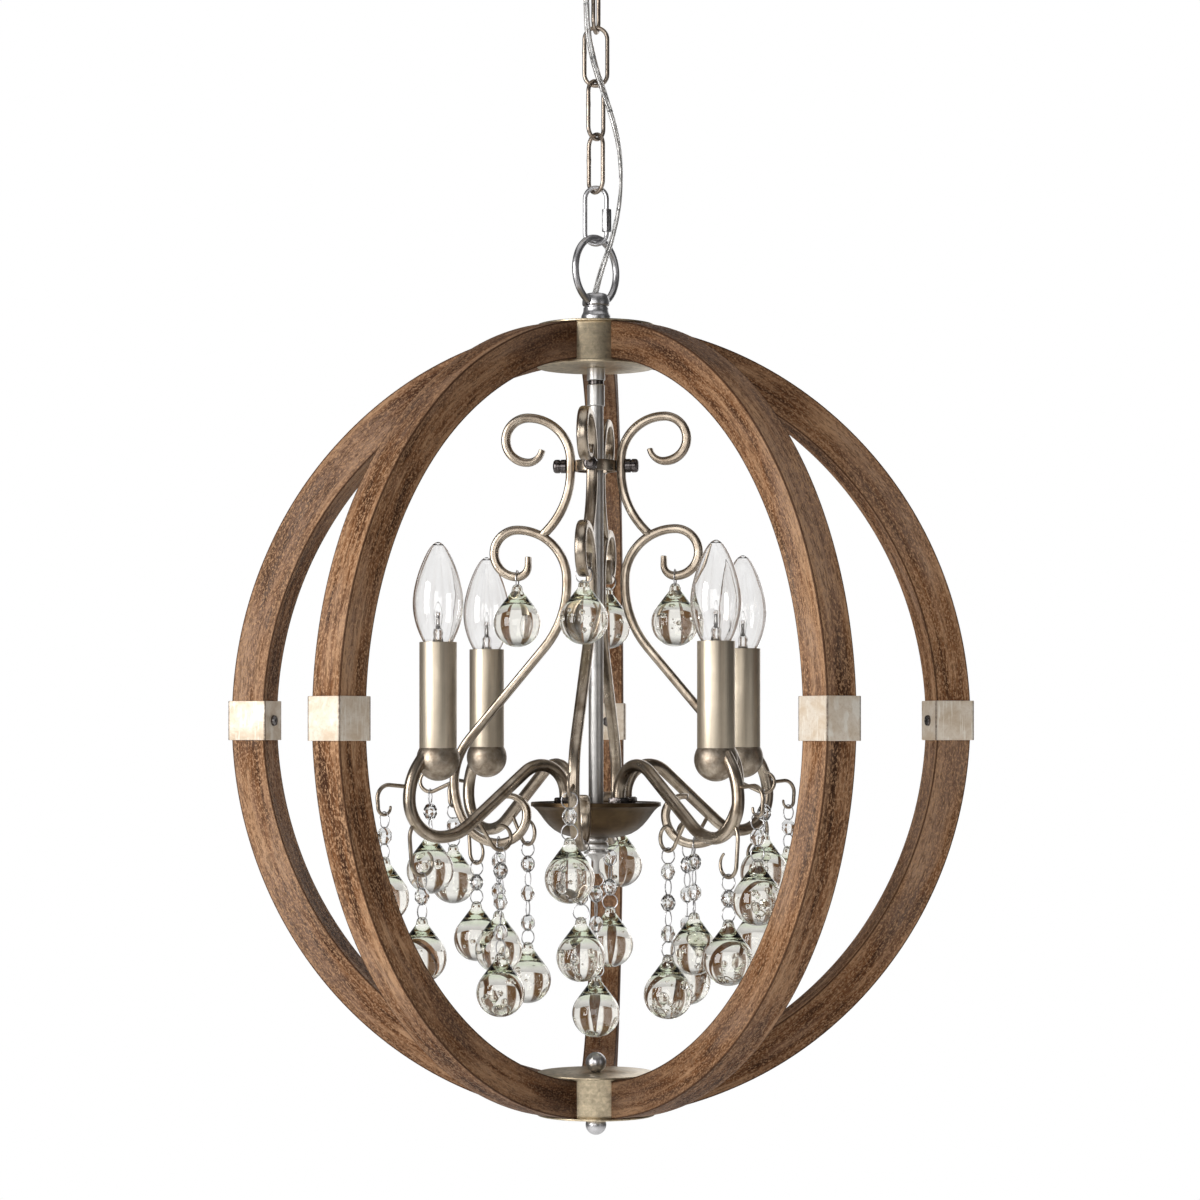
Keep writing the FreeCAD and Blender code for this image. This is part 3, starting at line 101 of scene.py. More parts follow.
# Hooks on a bar: the move that they start after, their heading, and their own moves
BODY_HOOK = (7, -25, ((0.016,), (0.0073, 25), (0.0073, 180)))
ARM_HOOKS = (
    (8, 5, ((0.017,), (0.009, -100), (0.006,), (0.005, -85), (0.005, -95))),
    (6, -60, ((0.005,), (0.014, -35), (0.017,), (0.0086, -85), (0.0086, -145))),
    (3, -125, ((0.023,), (0.009, -55), (0.0087, -180), (0.006, -60))),
)
# Longest straight step in metres and largest turn in degrees between a bar's points
RUN_STEP = 0.005
BEND_STEP = 5.0
# Where the rounded end of a bar has its rings, in degrees from its last straight one
END_ANGLES = (35, 65, 85)
# Largest share of a side that the easing of one of its corners takes
EASE_SHARE = 0.45

# Shares of the bowl's rim radius and of its depth, up its flared side
BOWL_SIDE = (
    (0.31, 0.012), (0.43, 0.047), (0.54, 0.110), (0.64, 0.215), (0.72, 0.340),
    (0.79, 0.485), (0.85, 0.635), (0.905, 0.765), (0.955, 0.850), (0.978, 0.875),
)
# Radii and depths of the finial under the bowl, from its top disc to its neck
FINIAL_SIDE = (
    (0.0080, 0.0), (0.0083, 0.0006), (0.0083, 0.0018), (0.0068, 0.0022), (0.0070, 0.0027),
    (0.0084, 0.0037), (0.0090, 0.0052), (0.0089, 0.0068), (0.0080, 0.0082), (0.0068, 0.0089),
    (0.0068, 0.0094), (0.0085, 0.0098), (0.0087, 0.0106), (0.0084, 0.0114), (0.0064, 0.0118),
    (0.0052, 0.0132), (0.0034, 0.0152), (0.0023, 0.0172),
)
# Radii and heights of a cap nut, from its seat to its domed end
CAP_NUT = (
    (0, 0), (0.0049, 0), (0.0049, 0.0034), (0.0043, 0.0038), (0.0043, 0.0043), (0.0049, 0.0047),
    (0.0049, 0.0070), (0.0046, 0.0081), (0.0038, 0.0088), (0.0024, 0.0092), (0, 0.0092),
)
# A bulb from the cap's contact to the neck of the glass, then the glass stem and a lead wire above the neck
BULB_NECK = 0.024
BULB_CONTACT = ((0, 0), (0.0022, 0), (0.0026, 0.0008), (0.0052, 0.0024), (0.0062, 0.0040))
BULB_THREAD = ((0.0061, 0), (0.0068, 0.0009), (0.0068, 0.0014), (0.0061, 0.0023))
BULB_STEM = (
    (0, 0.0004), (0.0052, 0.0004), (0.0046, 0.0028), (0.0036, 0.0056), (0.0032, 0.0084), (0.0036, 0.0112),
    (0.0030, 0.0132), (0.0016, 0.0146), (0.0013, 0.0180), (0.0013, 0.0222), (0.0017, 0.0240),
    (0.0012, 0.0252), (0, 0.0256),
)
BULB_LEAD = ((0.0022, 0.0030), (0.0021, 0.0100), (0.0024, 0.0150), (0.0031, 0.0200), (0.0034, 0.0235))

# Strings of glass: beads on each, and how far the wire or bar that carries it stands above its hinge
STRINGS = {
    "upper_drop": (0, 0.0036),
    "scroll_drop": (1, 0.0014),
    "loop_drop": (2, 0.0036),
    "elbow_drop": (1, 0.0014),
    "outer_drop": (1, 0.0014),
    "inner_drop": (3, 0.0014),
    "center_drop": (3, -0.00095),
}
# From a bead's middle to the rings above and below it, and how far a drop's nib reaches into its ring
BEAD_PITCH = 0.0052
NIB_REACH = 0.0023
# Half the width of the narrow link between two beads
LINK_HALF = 0.0021
# A string's top ring: how much wider it is on a bar, and its play on a bar and on a hook
BAR_RING = 0.0005
BAR_PLAY = 0.00055
HOOK_PLAY = 0.00015
# Steepest latitude of a drop's ball, where the cone of its neck starts, in degrees
DROP_LEAN = 37
BUBBLE_RADII = (0.0003, 0.0004, 0.0005, 0.0007, 0.0011, 0.0016)
# Share of a drop's radius that its bubbles keep to
BUBBLE_REACH = 0.8
# Rows of a bead's facets from its top to its girdle: shares of its radius and half height,
# and a turn in facets
BEAD_ROWS = ((0.22, 1.0, 0), (0.62, 0.78, 0.5), (0.93, 0.38, 0), (1.0, 0.0, 0.5))
BEAD_FACETS = 8

# The power cord's route from the canopy to the knuckle, and where it passes from one link's care to the next
CORD_ROUTE = (
    (-0.0085, -0.0202, -0.0235),
    (-0.0085, -0.0185, -0.0476),
    (-0.0068, -0.0125, -0.0716),
    (-0.0064, -0.0090, -0.0956),
    (-0.0010, -0.0090, -0.1216),
    (0.0075, -0.0105, -0.1456),
    (0.0150, -0.0110, -0.1706),
    (0.0183, -0.0105, -0.1956),
    (0.0170, -0.0095, -0.2216),
    (0.0105, -0.0085, -0.2486),
    (0.0030, -0.0065, -0.2686),
    (-0.0010, -0.0045, -0.2850),
)
CORD_PARTINGS = (-0.077, -0.115, -0.153, -0.191, -0.2225, -0.2535)
# Which way the flat cord faces, and how far it turns about itself, in radians for each metre of height
CORD_FACING = (0.2, 1, 0)
CORD_TWIST = 16.0

# Play between pieces that fit together
FIT = 0.0001
# Radius of the hole for the stem's rod in the hubs, the bowl and its plate
ROD_BORE = 0.0031
# Corners round a hexagonal nut, and how far along it and how far out its corners are turned off
HEX_CORNERS = 48
HEX_ENDS = ((0, 1.0), (0.16, 1.16), (0.84, 1.16), (1.0, 1.0))
# Steps along half a rib, and the depth of its unevenness
RIB_STEPS = 60
RIB_UNEVEN = 0.00035
# How far the darkening at a rib's end reaches along it: painted shade towards the hubs, partly an age stain
RIB_END_SHADE_AND_STAIN = 0.27
# Width of the painted dark shade line beside a collar's corner
COLLAR_SHADE_LINE = 0.0012
# Pale cards that stand round the studio, with brown gaps between them
CARD_COUNT = 8
# How far apart like parts stand on one pattern
SEED_STEPS = (0.371, 0.173, 0.097)

# Metals: light and dark shade, each a colour or a named colour of the settings with a factor, then the range
# of roughness, the grain's stretch, the patches' density, the bump's depth and the dark shade's share
METALS = {
    "pewter": (("pewter", 1.0), ("pewter_dark", 1.0), (0.23, 0.36), (40, 520, 520), 65, 0.00022, 0.85),
    "bowl_bronze": (("bronze", 1.0), ("bronze", 0.4), (0.30, 0.45), (40, 40, 900), 120, 0.00016, 0.6),
    "cup_bronze": (("pewter", 0.85), ("pewter_dark", 1.0), (0.36, 0.50), (420, 420, 420), 190, 0.00020, 0.8),
    "stem_silver": (("silver", 1.0), ("silver", 0.55), (0.34, 0.48), (700, 700, 30), 140, 0.00012, 0.5),
    "champagne": (("champagne", 1.0), ("champagne", 0.72), (0.39, 0.51), (900, 900, 18), 60, 0.00012, 0.5),
    "hub_metal": (("hub", 1.0), ("hub", 0.28), (0.30, 0.42), (60, 60, 700), 240, 0.00010, 0.72),
    "nickel": (("nickel", 1.0), ("nickel", 0.6), (0.29, 0.40), (120, 600, 600), 210, 0.00006, 0.45),
    "sleeve_steel": (("nickel", 0.62), ("nickel", 0.25), (0.24, 0.38), (600, 600, 2600), 240, 0.00010, 0.7),
    "chain_metal": (("chain", 1.0), ("chain", 0.5), (0.22, 0.38), (70, 700, 700), 260, 0.00012, 0.7),
    "gunmetal": (("gunmetal", 2.2), ("gunmetal", 1.0), (0.18, 0.32), (500, 500, 500), 300, 0.00010, 0.8),
    "zinc": ((0.62, 0.62, 0.60), (0.42, 0.42, 0.41), (0.3, 0.45), (30, 700, 700), 130, 0.00010, 0.5),
    "brass_cap": ((0.72, 0.70, 0.66), (0.5, 0.47, 0.42), (0.2, 0.32), (300, 300, 300), 200, 0.00006, 0.5),
    "tinned_wire": ((0.62, 0.61, 0.60), (0.10, 0.095, 0.09), (0.2, 0.4), (40, 2600, 2600), 130, 0.0001, 1.0),
}
# Metals of the frame's own nodes, which have no places of their own for a pattern
FRAME_METALS = ("zinc",)
# Plastics: colour, roughness and gloss
PLASTICS = {
    "bushing_plastic": ((0.035, 0.033, 0.032), 0.42, 0.45),
    "holder_plastic": ((0.80, 0.78, 0.72), 0.30, 0.5),
}
# Clear glass: density of its waviness, two shades, the waviness's depth and the refraction
CLEAR_GLASS = {
    "bead_glass": ((260, 260, 260), (0.99, 0.99, 0.99), (0.93, 0.95, 0.95), 0.0002, 1.6),
    "bulb_glass": ((55, 55, 40), (0.995, 0.992, 0.99), (0.97, 0.965, 0.96), 0.0006, 1.47),
}


# What a user can change
def length(name, description, default):
    return FloatProperty(
        name=name,
        description=description,
        default=default,
        min=0.0,
        precision=4,
        subtype="DISTANCE",
        unit="LENGTH",
    )


def number(name, description, default):
    return FloatProperty(name=name, description=description, default=default, min=0.0)


def power(name, description, default):
    return FloatProperty(name=name, description=description, default=default, min=0.0, unit="POWER")


def colour(name, description, default):
    return FloatVectorProperty(
        name=name, description=description, default=default, size=3, min=0.0, max=1.0, subtype="COLOR"
    )


class PENDANT_PG_globe(PropertyGroup):
    """Sizes of the globe of ribs."""

    rib_radius: length("Rib radius", "Outside radius of the bent ribs", 0.283)
    rib_depth: length("Rib depth", "Depth of a rib towards the axis", 0.026)
    rib_width: length("Rib width", "Width of a rib round the globe", 0.024)
    rib_easing: length("Rib easing", "How far a rib's corners are rounded off", 0.0007)
    collar_height: length("Collar height", "Height of the sleeve that joins two ribs", 0.029)
    collar_wall: length("Collar wall", "Thickness of the collar's sheet", 0.0018)
    screw_radius: length("Screw radius", "Head of the screw inside a collar", 0.004)
    hub_radius: length("Hub radius", "Radius of the barrel at the ends of the ribs", 0.039)
    hub_lip: length("Hub lip", "How far the hub's discs stand out", 0.003)
    hub_sheet: length("Hub sheet", "Thickness of the hub's discs", 0.002)
    knuckle_radius: length("Knuckle radius", "Radius of the turned knuckle on the top hub", 0.0098)
    ball_radius: length("Ball radius", "Radius of the ball nuts on the bottom hub", 0.0074)


class PENDANT_PG_hanging(PropertyGroup):
    """Sizes of the canopy, the chain and the cord."""

    canopy_radius: length("Canopy radius", "Outside radius of the ceiling cover", 0.0635)
    canopy_height: length("Canopy height", "Depth of the ceiling cover", 0.025)
    canopy_flat: length("Canopy flat", "Radius of the cover's flat underside", 0.032)
    canopy_wall: length("Canopy wall", "Thickness of the cover's sheet", 0.0012)
    nipple_radius: length("Nipple radius", "Radius of the loop's threaded nipple", 0.0048)
    loop_radius: length("Loop radius", "Radius of the canopy's loop at its wire's middle", 0.0125)
    loop_wire: length("Loop wire", "Radius of the loop's wire", 0.0025)
    link_width: length("Link width", "Outside width of a chain link", 0.0193)
    link_wire: length("Link wire", "Radius of a chain link's wire", 0.0015)
    quick_width: length("Quick link width", "Outside width of the quick link", 0.0186)
    quick_wire: length("Quick link wire", "Radius of the quick link's wire", 0.0016)
    ring_radius: length("Ring radius", "Radius of the hanging ring at its wire's middle", 0.0235)
    ring_wire: length("Ring wire", "Radius of the hanging ring's wire", 0.0025)
    cord_width: length("Cord width", "Width of the flat twin cord", 0.0045)
    cord_thickness: length("Cord thickness", "Thickness of the flat twin cord", 0.0027)


class PENDANT_PG_chandelier(PropertyGroup):
    """Sizes of the scrolls, the arms and the candles."""

    bar_thickness: length("Scroll thickness", "Thickness of a scroll's bar", 0.0064)
    bar_width: length("Scroll width", "Width of a scroll's bar", 0.008)
    arm_radius: length("Arm radius", "Radius of a candle arm", 0.0044)
    hook_wire: length("Hook wire", "Radius of a drop hook's wire", 0.0014)
    bracket_height: length("Bracket height", "Bracket's height above the globe's centre", 0.1814)
    bracket_radius: length("Bracket radius", "Outside radius of the scrolls' bracket", 0.015)
    tube_radius: length("Tube radius", "Radius of the stem's cover tube", 0.0053)
    bowl_radius: length("Bowl radius", "Radius of the bowl's rim", 0.0465)
    bowl_depth: length("Bowl depth", "Depth of the bowl", 0.0255)
    candle_reach: length("Candle reach", "Distance of a candle from the axis", 0.136)
    cup_radius: length("Cup radius", "Radius of the ball under a candle", 0.015)
    sleeve_radius: length("Sleeve radius", "Outside radius of a candle sleeve", 0.0129)
    sleeve_height: length("Sleeve height", "Height of a candle sleeve", 0.073)
    bulb_radius: length("Bulb radius", "Largest radius of a candle bulb", 0.0175)


class PENDANT_PG_glass(PropertyGroup):
    """Sizes of the strings of glass."""

    drop_radius: length("Drop radius", "Radius of a drop's ball", 0.017)
    drop_height: length("Drop height", "Height of a drop with its nib", 0.045)
    nib_radius: length("Nib radius", "Radius of a drop's nib", 0.0041)
    bead_radius: length("Bead radius", "Largest radius of a bead", 0.0053)
    bead_half: length("Bead half height", "Half of a bead's height", 0.0062)
    ring_radius: length("Jump ring radius", "Radius of a jump ring at its wire's middle", 0.0056)
    ring_wire: length("Jump ring wire", "Radius of a jump ring's wire", 0.00045)
    bubbles: IntProperty(name="Bubbles", description="Air bubbles in one drop", default=16, min=0)


class PENDANT_PG_finishes(PropertyGroup):
    """Colours of the finishes."""

    # The dark wood colour also paints the shade towards the hubs and the shade lines at the collars' corners
    wood_dark: colour("Wood, dark", "Dark streaks of the ribs", (0.040, 0.0145, 0.005))
    wood_middle: colour("Wood, middle", "Main colour of the ribs", (0.158, 0.066, 0.025))
    wood_light: colour("Wood, light", "Rubbed streaks of the ribs", (0.40, 0.232, 0.127))
    wood_grey: colour("Wood, weathered", "Greyed stretches of the ribs", (0.225, 0.155, 0.118))
    leaf: colour("Leaf", "Champagne leaf of the collars", (0.73, 0.645, 0.54))
    leaf_worn: colour("Leaf, worn", "Tarnished patches of the leaf", (0.52, 0.39, 0.26))
    leaf_scratch: colour("Leaf, scratched", "Hairlines rubbed bright in the leaf", (0.86, 0.82, 0.74))
    pewter: colour("Pewter", "Scrolls and arms", (0.57, 0.49, 0.395))
    pewter_dark: colour("Pewter, dark", "Antique shading of the scrolls and arms", (0.16, 0.11, 0.07))
    champagne: colour("Champagne", "Candle sleeves and canopy", (0.67, 0.58, 0.455))
    hub: colour("Hub", "Barrels of the hubs", (0.76, 0.63, 0.44))
    nickel: colour("Nickel", "Knuckle, ring and ball nuts", (0.62, 0.61, 0.62))
    chain: colour("Chain", "Chain links", (0.45, 0.37, 0.30))
    bronze: colour("Bronze", "Bowl and the plate of its arms", (0.115, 0.075, 0.040))
    silver: colour("Silver", "Stem covers and finial", (0.68, 0.66, 0.64))
    gunmetal: colour("Gunmetal", "Cap nuts and screws", (0.07, 0.062, 0.06))
    glass: colour("Glass", "Drops", (0.89, 0.87, 0.815))
    glass_neck: colour("Glass, neck", "Thick glass at a drop's neck", (0.68, 0.77, 0.57))


class PENDANT_PG_stage(PropertyGroup):
    """Camera and light."""

    lens: number("Lens", "Focal length on a 36 mm sensor", 96.18)
    distance: length("Distance", "Camera's distance from the pendant's axis", 2.290)
    below: length("Below centre", "Camera's height below the globe's centre", 0.0107)
    aside: length("Aside", "Camera's offset to the right of the axis", 0.0029)
    lift: number("Lift", "Share of the frame by which the view is shifted up", 0.1125)
    floor_drop: length("Floor", "Depth of the floor below the ceiling", 1.75)
    key: power("Key light", "Large soft light from the left", 46.0)
    front: power("Front light", "Soft card beside the camera", 14.0)
    fill: power("Fill light", "Weak light from the right", 3.0)
    back: power("Back light", "Soft light from behind", 9.0)
    top: power("Top light", "Soft light from above", 6.0)


def settings(name):
    """One group of the scene's settings for the pendant."""
    return getattr(bpy.context.scene, "pendant_" + name)


# Places
def raised(level):
    return Matrix.Translation((0, 0, level))


def turned(azimuth):
    return Matrix.Rotation(math.radians(azimuth), 4, "Z")


def round_axis(azimuth, radius=0.0, height=0.0):
    """A place out from the axis at a height from the globe's centre, turned to face outwards."""
    return TO_ORB @ turned(azimuth) @ Matrix.Translation((radius, 0, height))


# Shapes
def outward(verts, faces):
    """The faces, turned if need be to face outwards."""
    total = 0.0
    for face in faces:
        first = verts[face[0]]
        for second, third in zip(face[1:], face[2:]):
            total += first.dot(verts[second].cross(verts[third]))
    return faces if total > 0 else [face[::-1] for face in faces]


def wrap(rings, sides, closed=True):
    """Faces round rings of corners: on to the first ring again, or with both ends filled."""
    faces = []
    for ring in range(rings if closed else rings - 1):
        low = ring * sides
        high = (ring + 1) % rings * sides
        for corner in range(sides):
            after = (corner + 1) % sides
            faces.append([low + corner, low + after, high + after, high + corner])
    if not closed:
        faces.append(list(range(sides))[::-1])
        faces.append(list(range((rings - 1) * sides, rings * sides)))
    return faces


def turns(count):
    """Angles once round, in radians."""
    return [2 * math.pi * index / count for index in range(count)]


def round_off(start, corner, end, shares):
    """Points on the curve from start to end that a corner draws to itself."""
    return [start.lerp(corner, share).lerp(corner.lerp(end, share), share) for share in shares]


def eased(outline, radius, closed=False, steps=3):
    """An outline of (radius, level) corners with each corner rounded off."""
    points = [Vector(point) for point in outline]
    out = []
    for index, corner in enumerate(points):
        if not closed and index in (0, len(points) - 1):
            out.append(tuple(corner))
            continue
        back = points[index - 1] - corner
        ahead = points[(index + 1) % len(points)] - corner
        trim = min(radius, EASE_SHARE * back.length, EASE_SHARE * ahead.length)
        start = corner + back.normalized() * trim
        end = corner + ahead.normalized() * trim
        shares = [step / steps for step in range(steps + 1)]
        out += [tuple(point) for point in round_off(start, corner, end, shares)]
    return out


def lathe(outline, sides=48):
    """Corners and faces of a turning about Z; an outline with both ends off the axis closes on itself."""
    verts = []
    rings = []
    for radius, level in outline:
        if radius < 1e-6:
            rings.append([len(verts)])
            verts.append(Vector((0, 0, level)))
            continue
        rings.append(list(range(len(verts), len(verts) + sides)))
        verts += [Vector((radius * math.cos(turn), radius * math.sin(turn), level)) for turn in turns(sides)]
    pairs = list(zip(rings, rings[1:]))
    if len(rings[0]) > 1 and len(rings[-1]) > 1:
        pairs.append((rings[-1], rings[0]))
    faces = []
    for low, high in pairs:
        for index in range(sides):
            after = (index + 1) % sides
            if len(low) == 1 and len(high) > 1:
                faces.append([low[0], high[after], high[index]])
            elif len(high) == 1 and len(low) > 1:
                faces.append([low[index], low[after], high[0]])
            elif len(low) > 1:
                faces.append([low[index], low[after], high[after], high[index]])
    return verts, outward(verts, faces)


def ball_arc(radius, center, lowest, highest, count):
    """Corners up a ball's side between two latitudes."""
    angles = [math.radians(lowest + (highest - lowest) * index / (count - 1)) for index in range(count)]
    return [(radius * math.cos(angle), center + radius * math.sin(angle)) for angle in angles]


def round_section(radius, sides=12):
    return [(radius * math.cos(turn), radius * math.sin(turn)) for turn in turns(sides)]


def soft_section(across, along, sides=20, power=0.62):
    """A rounded rectangle as (across, along) pairs."""
    out = []
    for turn in turns(sides):
        x = math.copysign(abs(math.cos(turn)) ** power, math.cos(turn))
        y = math.copysign(abs(math.sin(turn)) ** power, math.sin(turn))
        out.append((x * across / 2, y * along / 2))
    return out


def bent_line(start, heading, moves):
    """Points in the XZ plane along straight runs and tangent bends, and the place after each move."""
    point = Vector((start[0], 0, start[1]))
    points = [point]
    marks = []
    for move in moves:
        if len(move) == 1:
            count = max(1, round(move[0] / RUN_STEP))
            turn = 0.0
            chord = move[0] / count
        else:
            count = math.ceil(abs(move[1]) / BEND_STEP)
            turn = move[1] / count
            chord = 2 * move[0] * math.sin(abs(math.radians(turn)) / 2)
        for _ in range(count):
            angle = math.radians(heading + turn / 2)
            point = point + Vector((math.cos(angle), 0, math.sin(angle))) * chord
            points.append(point)
            heading += turn
        marks.append(point)
    return points, marks


def hook_line(marks, after, heading, moves):
    """Points of a hook that starts at the place after one of its bar's moves."""
    root = marks[after]
    return bent_line((root.x, root.z), heading, moves)[0]


def sweep(points, section, closed=False, swell=None, up=(0, 1, 0), twist=0.0, dome=0.7):
    """Corners, faces and places (along, across, wide) of a bar.

    Its section is scaled by swell and turned with height by twist, and its ends are rounded over by dome.
    """
    count = len(points)
    along = [0.0]
    for before, after in zip(points, points[1:]):
        along.append(along[-1] + (after - before).length)
    side = Vector(up)
    stations = []
    for index, point in enumerate(points):
        before = points[index - 1] if index or closed else point
        after = points[(index + 1) % count] if index < count - 1 or closed else point
        ahead = (after - before).normalized()
        side = (side - ahead * side.dot(ahead)).normalized()
        facing = Matrix.Rotation(twist * point.z, 3, ahead) @ side
        scale = (1.0, 1.0) if swell is None else swell(along[index], along[-1])
        stations.append((point, ahead, facing, along[index], scale))
    if not closed:
        half = min(max(abs(corner[0]) for corner in section), max(abs(corner[1]) for corner in section))
        stations = round_ends(stations, half * dome)
    verts = []
    places = []
    for point, ahead, facing, distance, scale in stations:
        left = ahead.cross(facing)
        for across, wide in section:
            verts.append(point + left * across * scale[0] + facing * wide * scale[1])
            places.append(Vector((distance, across, wide)))
    return verts, outward(verts, wrap(len(stations), len(section), closed)), places


def round_ends(stations, half):
    """The stations of a bar with both of its ends rounded over."""
    out = list(stations)
    for at_start in (True, False):
        point, ahead, side, distance, scale = stations[0 if at_start else -1]
        way = -1 if at_start else 1
        for angle in END_ANGLES:
            reach = half * scale[0] * math.sin(math.radians(angle))
            shrink = math.cos(math.radians(angle))
            shrunk = (scale[0] * shrink, scale[1] * shrink)
            extra = (point + ahead * reach * way, ahead, side, distance + reach * way, shrunk)
            out.insert(0 if at_start else len(out), extra)
    return out


def swelling(distance, middle, spread, rise):
    """Scale of a bar that swells a little round one place."""
    scale = 1.0 + rise * math.exp(-(((distance - middle) / spread) ** 2))
    return scale, scale


def drawn_tip(distance, total):
    """Scale of a hook's wire, drawn finer towards its tip."""
    stretch = 0.018
    share = max(0.0, 1.0 - (total - distance) / stretch)
    scale = 1.0 - 0.35 * share
    return scale, scale


def circle_line(radius, count):
    """Points of a circle in the XZ plane."""
    return [Vector((radius * math.cos(turn), 0, radius * math.sin(turn))) for turn in turns(count)]


def oval_line(span, width, gap=None):
    """Points round a long link in the XZ plane that hangs from the origin.

    A gap is (middle, height) on its right side.
    """
    radius = width / 2
    bends = 16
    stride = 0.003
    runs = max(2, round((span - 2 * radius) / stride))
    points = []
    for index in range(bends + 1):
        turn = math.pi * index / bends
        points.append(Vector((radius * math.cos(turn), 0, -radius + radius * math.sin(turn))))
    for index in range(1, runs):
        points.append(Vector((-radius, 0, -radius - (span - 2 * radius) * index / runs)))
    for index in range(bends + 1):
        turn = math.pi + math.pi * index / bends
        points.append(Vector((radius * math.cos(turn), 0, radius - span + radius * math.sin(turn))))
    if gap is None:
        for index in range(1, runs):
            points.append(Vector((radius, 0, radius - span + (span - 2 * radius) * index / runs)))
        return points
    middle, height = gap
    return [Vector((radius, 0, middle + height / 2))] + points + [Vector((radius, 0, middle - height / 2))]


def hex_nut(across, height, bore):
    """A hexagonal nut whose corners are turned off at both ends."""
    flat = across / 2
    verts = []
    for level, limit in HEX_ENDS:
        for turn in turns(HEX_CORNERS):
            reach = flat / math.cos((turn + math.pi / 6) % (math.pi / 3) - math.pi / 6)
            reach = min(reach, flat * limit)
            verts.append(Vector((reach * math.cos(turn), reach * math.sin(turn), height * level)))
    for level in (height, 0):
        for turn in turns(HEX_CORNERS):
            verts.append(Vector((bore * math.cos(turn), bore * math.sin(turn), level)))
    return verts, outward(verts, wrap(len(HEX_ENDS) + 2, HEX_CORNERS))


def carve(body, cutter):
    """Corners and faces of one closed shape with another taken out of it."""
    made = []
    for verts, faces in (body, cutter):
        mesh = bpy.data.meshes.new("carving")
        mesh.from_pydata(verts, [], faces)
        item = bpy.data.objects.new("carving", mesh)
        bpy.context.scene.collection.objects.link(item)
        made.append(item)
    taken = made[0].modifiers.new("carve", "BOOLEAN")
    taken.operation = "DIFFERENCE"
    taken.object = made[1]
    result = bpy.data.meshes.new_from_object(made[0].evaluated_get(bpy.context.evaluated_depsgraph_get()))
    verts = [vertex.co.copy() for vertex in result.vertices]
    faces = [list(polygon.vertices) for polygon in result.polygons]
    for item in made:
        mesh = item.data
        bpy.data.objects.remove(item)
        bpy.data.meshes.remove(mesh)
    bpy.data.meshes.remove(result)
    if not faces:
        raise RuntimeError("carving left nothing")
    return verts, faces


class Piece:
    """One piece as its parts are gathered, with each corner's place on its own part for the finishes."""

    def __init__(self):
        self.verts = []
        self.faces = []
        self.marks = []
        self.places = []
        self.extras = {}

    def add(self, made, mark=0, where=Matrix.Identity(4), seed=0.0, **extras):
        """Take in one part: its corners and faces, and its places where those aren't the corners."""
        verts, faces = made[:2]
        places = made[2] if len(made) > 2 else verts
        start = len(self.verts)
        shift = Vector([seed * step for step in SEED_STEPS])
        self.verts += [where @ vert for vert in verts]
        self.places += [place + shift for place in places]
        self.faces += [[start + corner for corner in face] for face in faces]
        self.marks += [mark] * len(faces)
        for name, values in extras.items():
            self.extras.setdefault(name, []).extend(values)

    def build(self, name, finishes, body, nodes=(), angle=38):
        """Make the object, let it ride on its body and stand for its nodes."""
        mesh = bpy.data.meshes.new(name)
        mesh.from_pydata(self.verts, [], self.faces)
        mesh.polygons.foreach_set("material_index", self.marks)
        for material in finishes:
            mesh.materials.append(finish(material))
        place = mesh.attributes.new("place", "FLOAT_VECTOR", "POINT")
        place.data.foreach_set("vector", [value for corner in self.places for value in corner])
        for extra, values in self.extras.items():
            mesh.attributes.new(extra, "FLOAT", "POINT").data.foreach_set("value", values)
        mesh.shade_smooth()
        mesh.set_sharp_from_angle(angle=math.radians(angle))
        mesh.update()
        item = bpy.data.objects.new(name, mesh)
        bpy.context.scene.collection.objects.link(item)
        if body is not None:
            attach(item, body)
        if nodes:
            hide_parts(*nodes)
        return item


def single(name, made, where, material, body, node, angle=38):
    """A piece of one part that stands for one node."""
    piece = Piece()
    piece.add(made, 0, where)
    piece.build(name, [material], body, [node], angle)


def refinish(node, material):
    """Give one of the frame's own nodes a finish."""
    mesh = frame["nodes"][node].data
    mesh.materials.clear()
    mesh.materials.append(finish(material))


# Finishes
class Nodes:
    """A node tree as it is put together."""

    def __init__(self, tree):
        self.tree = tree

    def node(self, kind, **choices):
        made = self.tree.nodes.new(kind)
        for choice, value in choices.items():
            setattr(made, choice, value)
        return made

    def put(self, value, socket):
        """Another node's output, a number or a colour into a socket."""
        if isinstance(value, bpy.types.NodeSocket):
            self.tree.links.new(value, socket)
        else:
            socket.default_value = (*value, 1.0) if hasattr(value, "__len__") else value

    def mix(self, factor, first, second, blend="MIX"):
        """Two colours mixed; each of the three is a number, a colour or another node's output."""
        made = self.node("ShaderNodeMix", data_type="RGBA", blend_type=blend, clamp_factor=True)
        for value, socket in zip((factor, first, second), (0, 6, 7)):
            self.put(value, made.inputs[socket])
        return made.outputs[2]

    def maths(self, kind, first, second=None):
        made = self.node("ShaderNodeMath", operation=kind)
        self.put(first, made.inputs[0])
        if second is not None:
            self.put(second, made.inputs[1])
        return made.outputs["Value"]

    def weigh(self, first, share, second, rest):
        """A share of one factor and a share of another, added up."""
        return self.maths("ADD", self.maths("MULTIPLY", first, share), self.maths("MULTIPLY", second, rest))

    def span(self, factor, source, target):
        """A factor taken from one range to another."""
        made = self.node("ShaderNodeMapRange")
        for socket, value in zip(("From Min", "From Max", "To Min", "To Max"), (*source, *target)):
            made.inputs[socket].default_value = value
        self.put(factor, made.inputs["Value"])
        return made.outputs["Result"]

    def spread(self, factor, low, high):
        """A noise taken from its usual middle range to low and high."""
        return self.span(factor, (0.3, 0.7), (low, high))


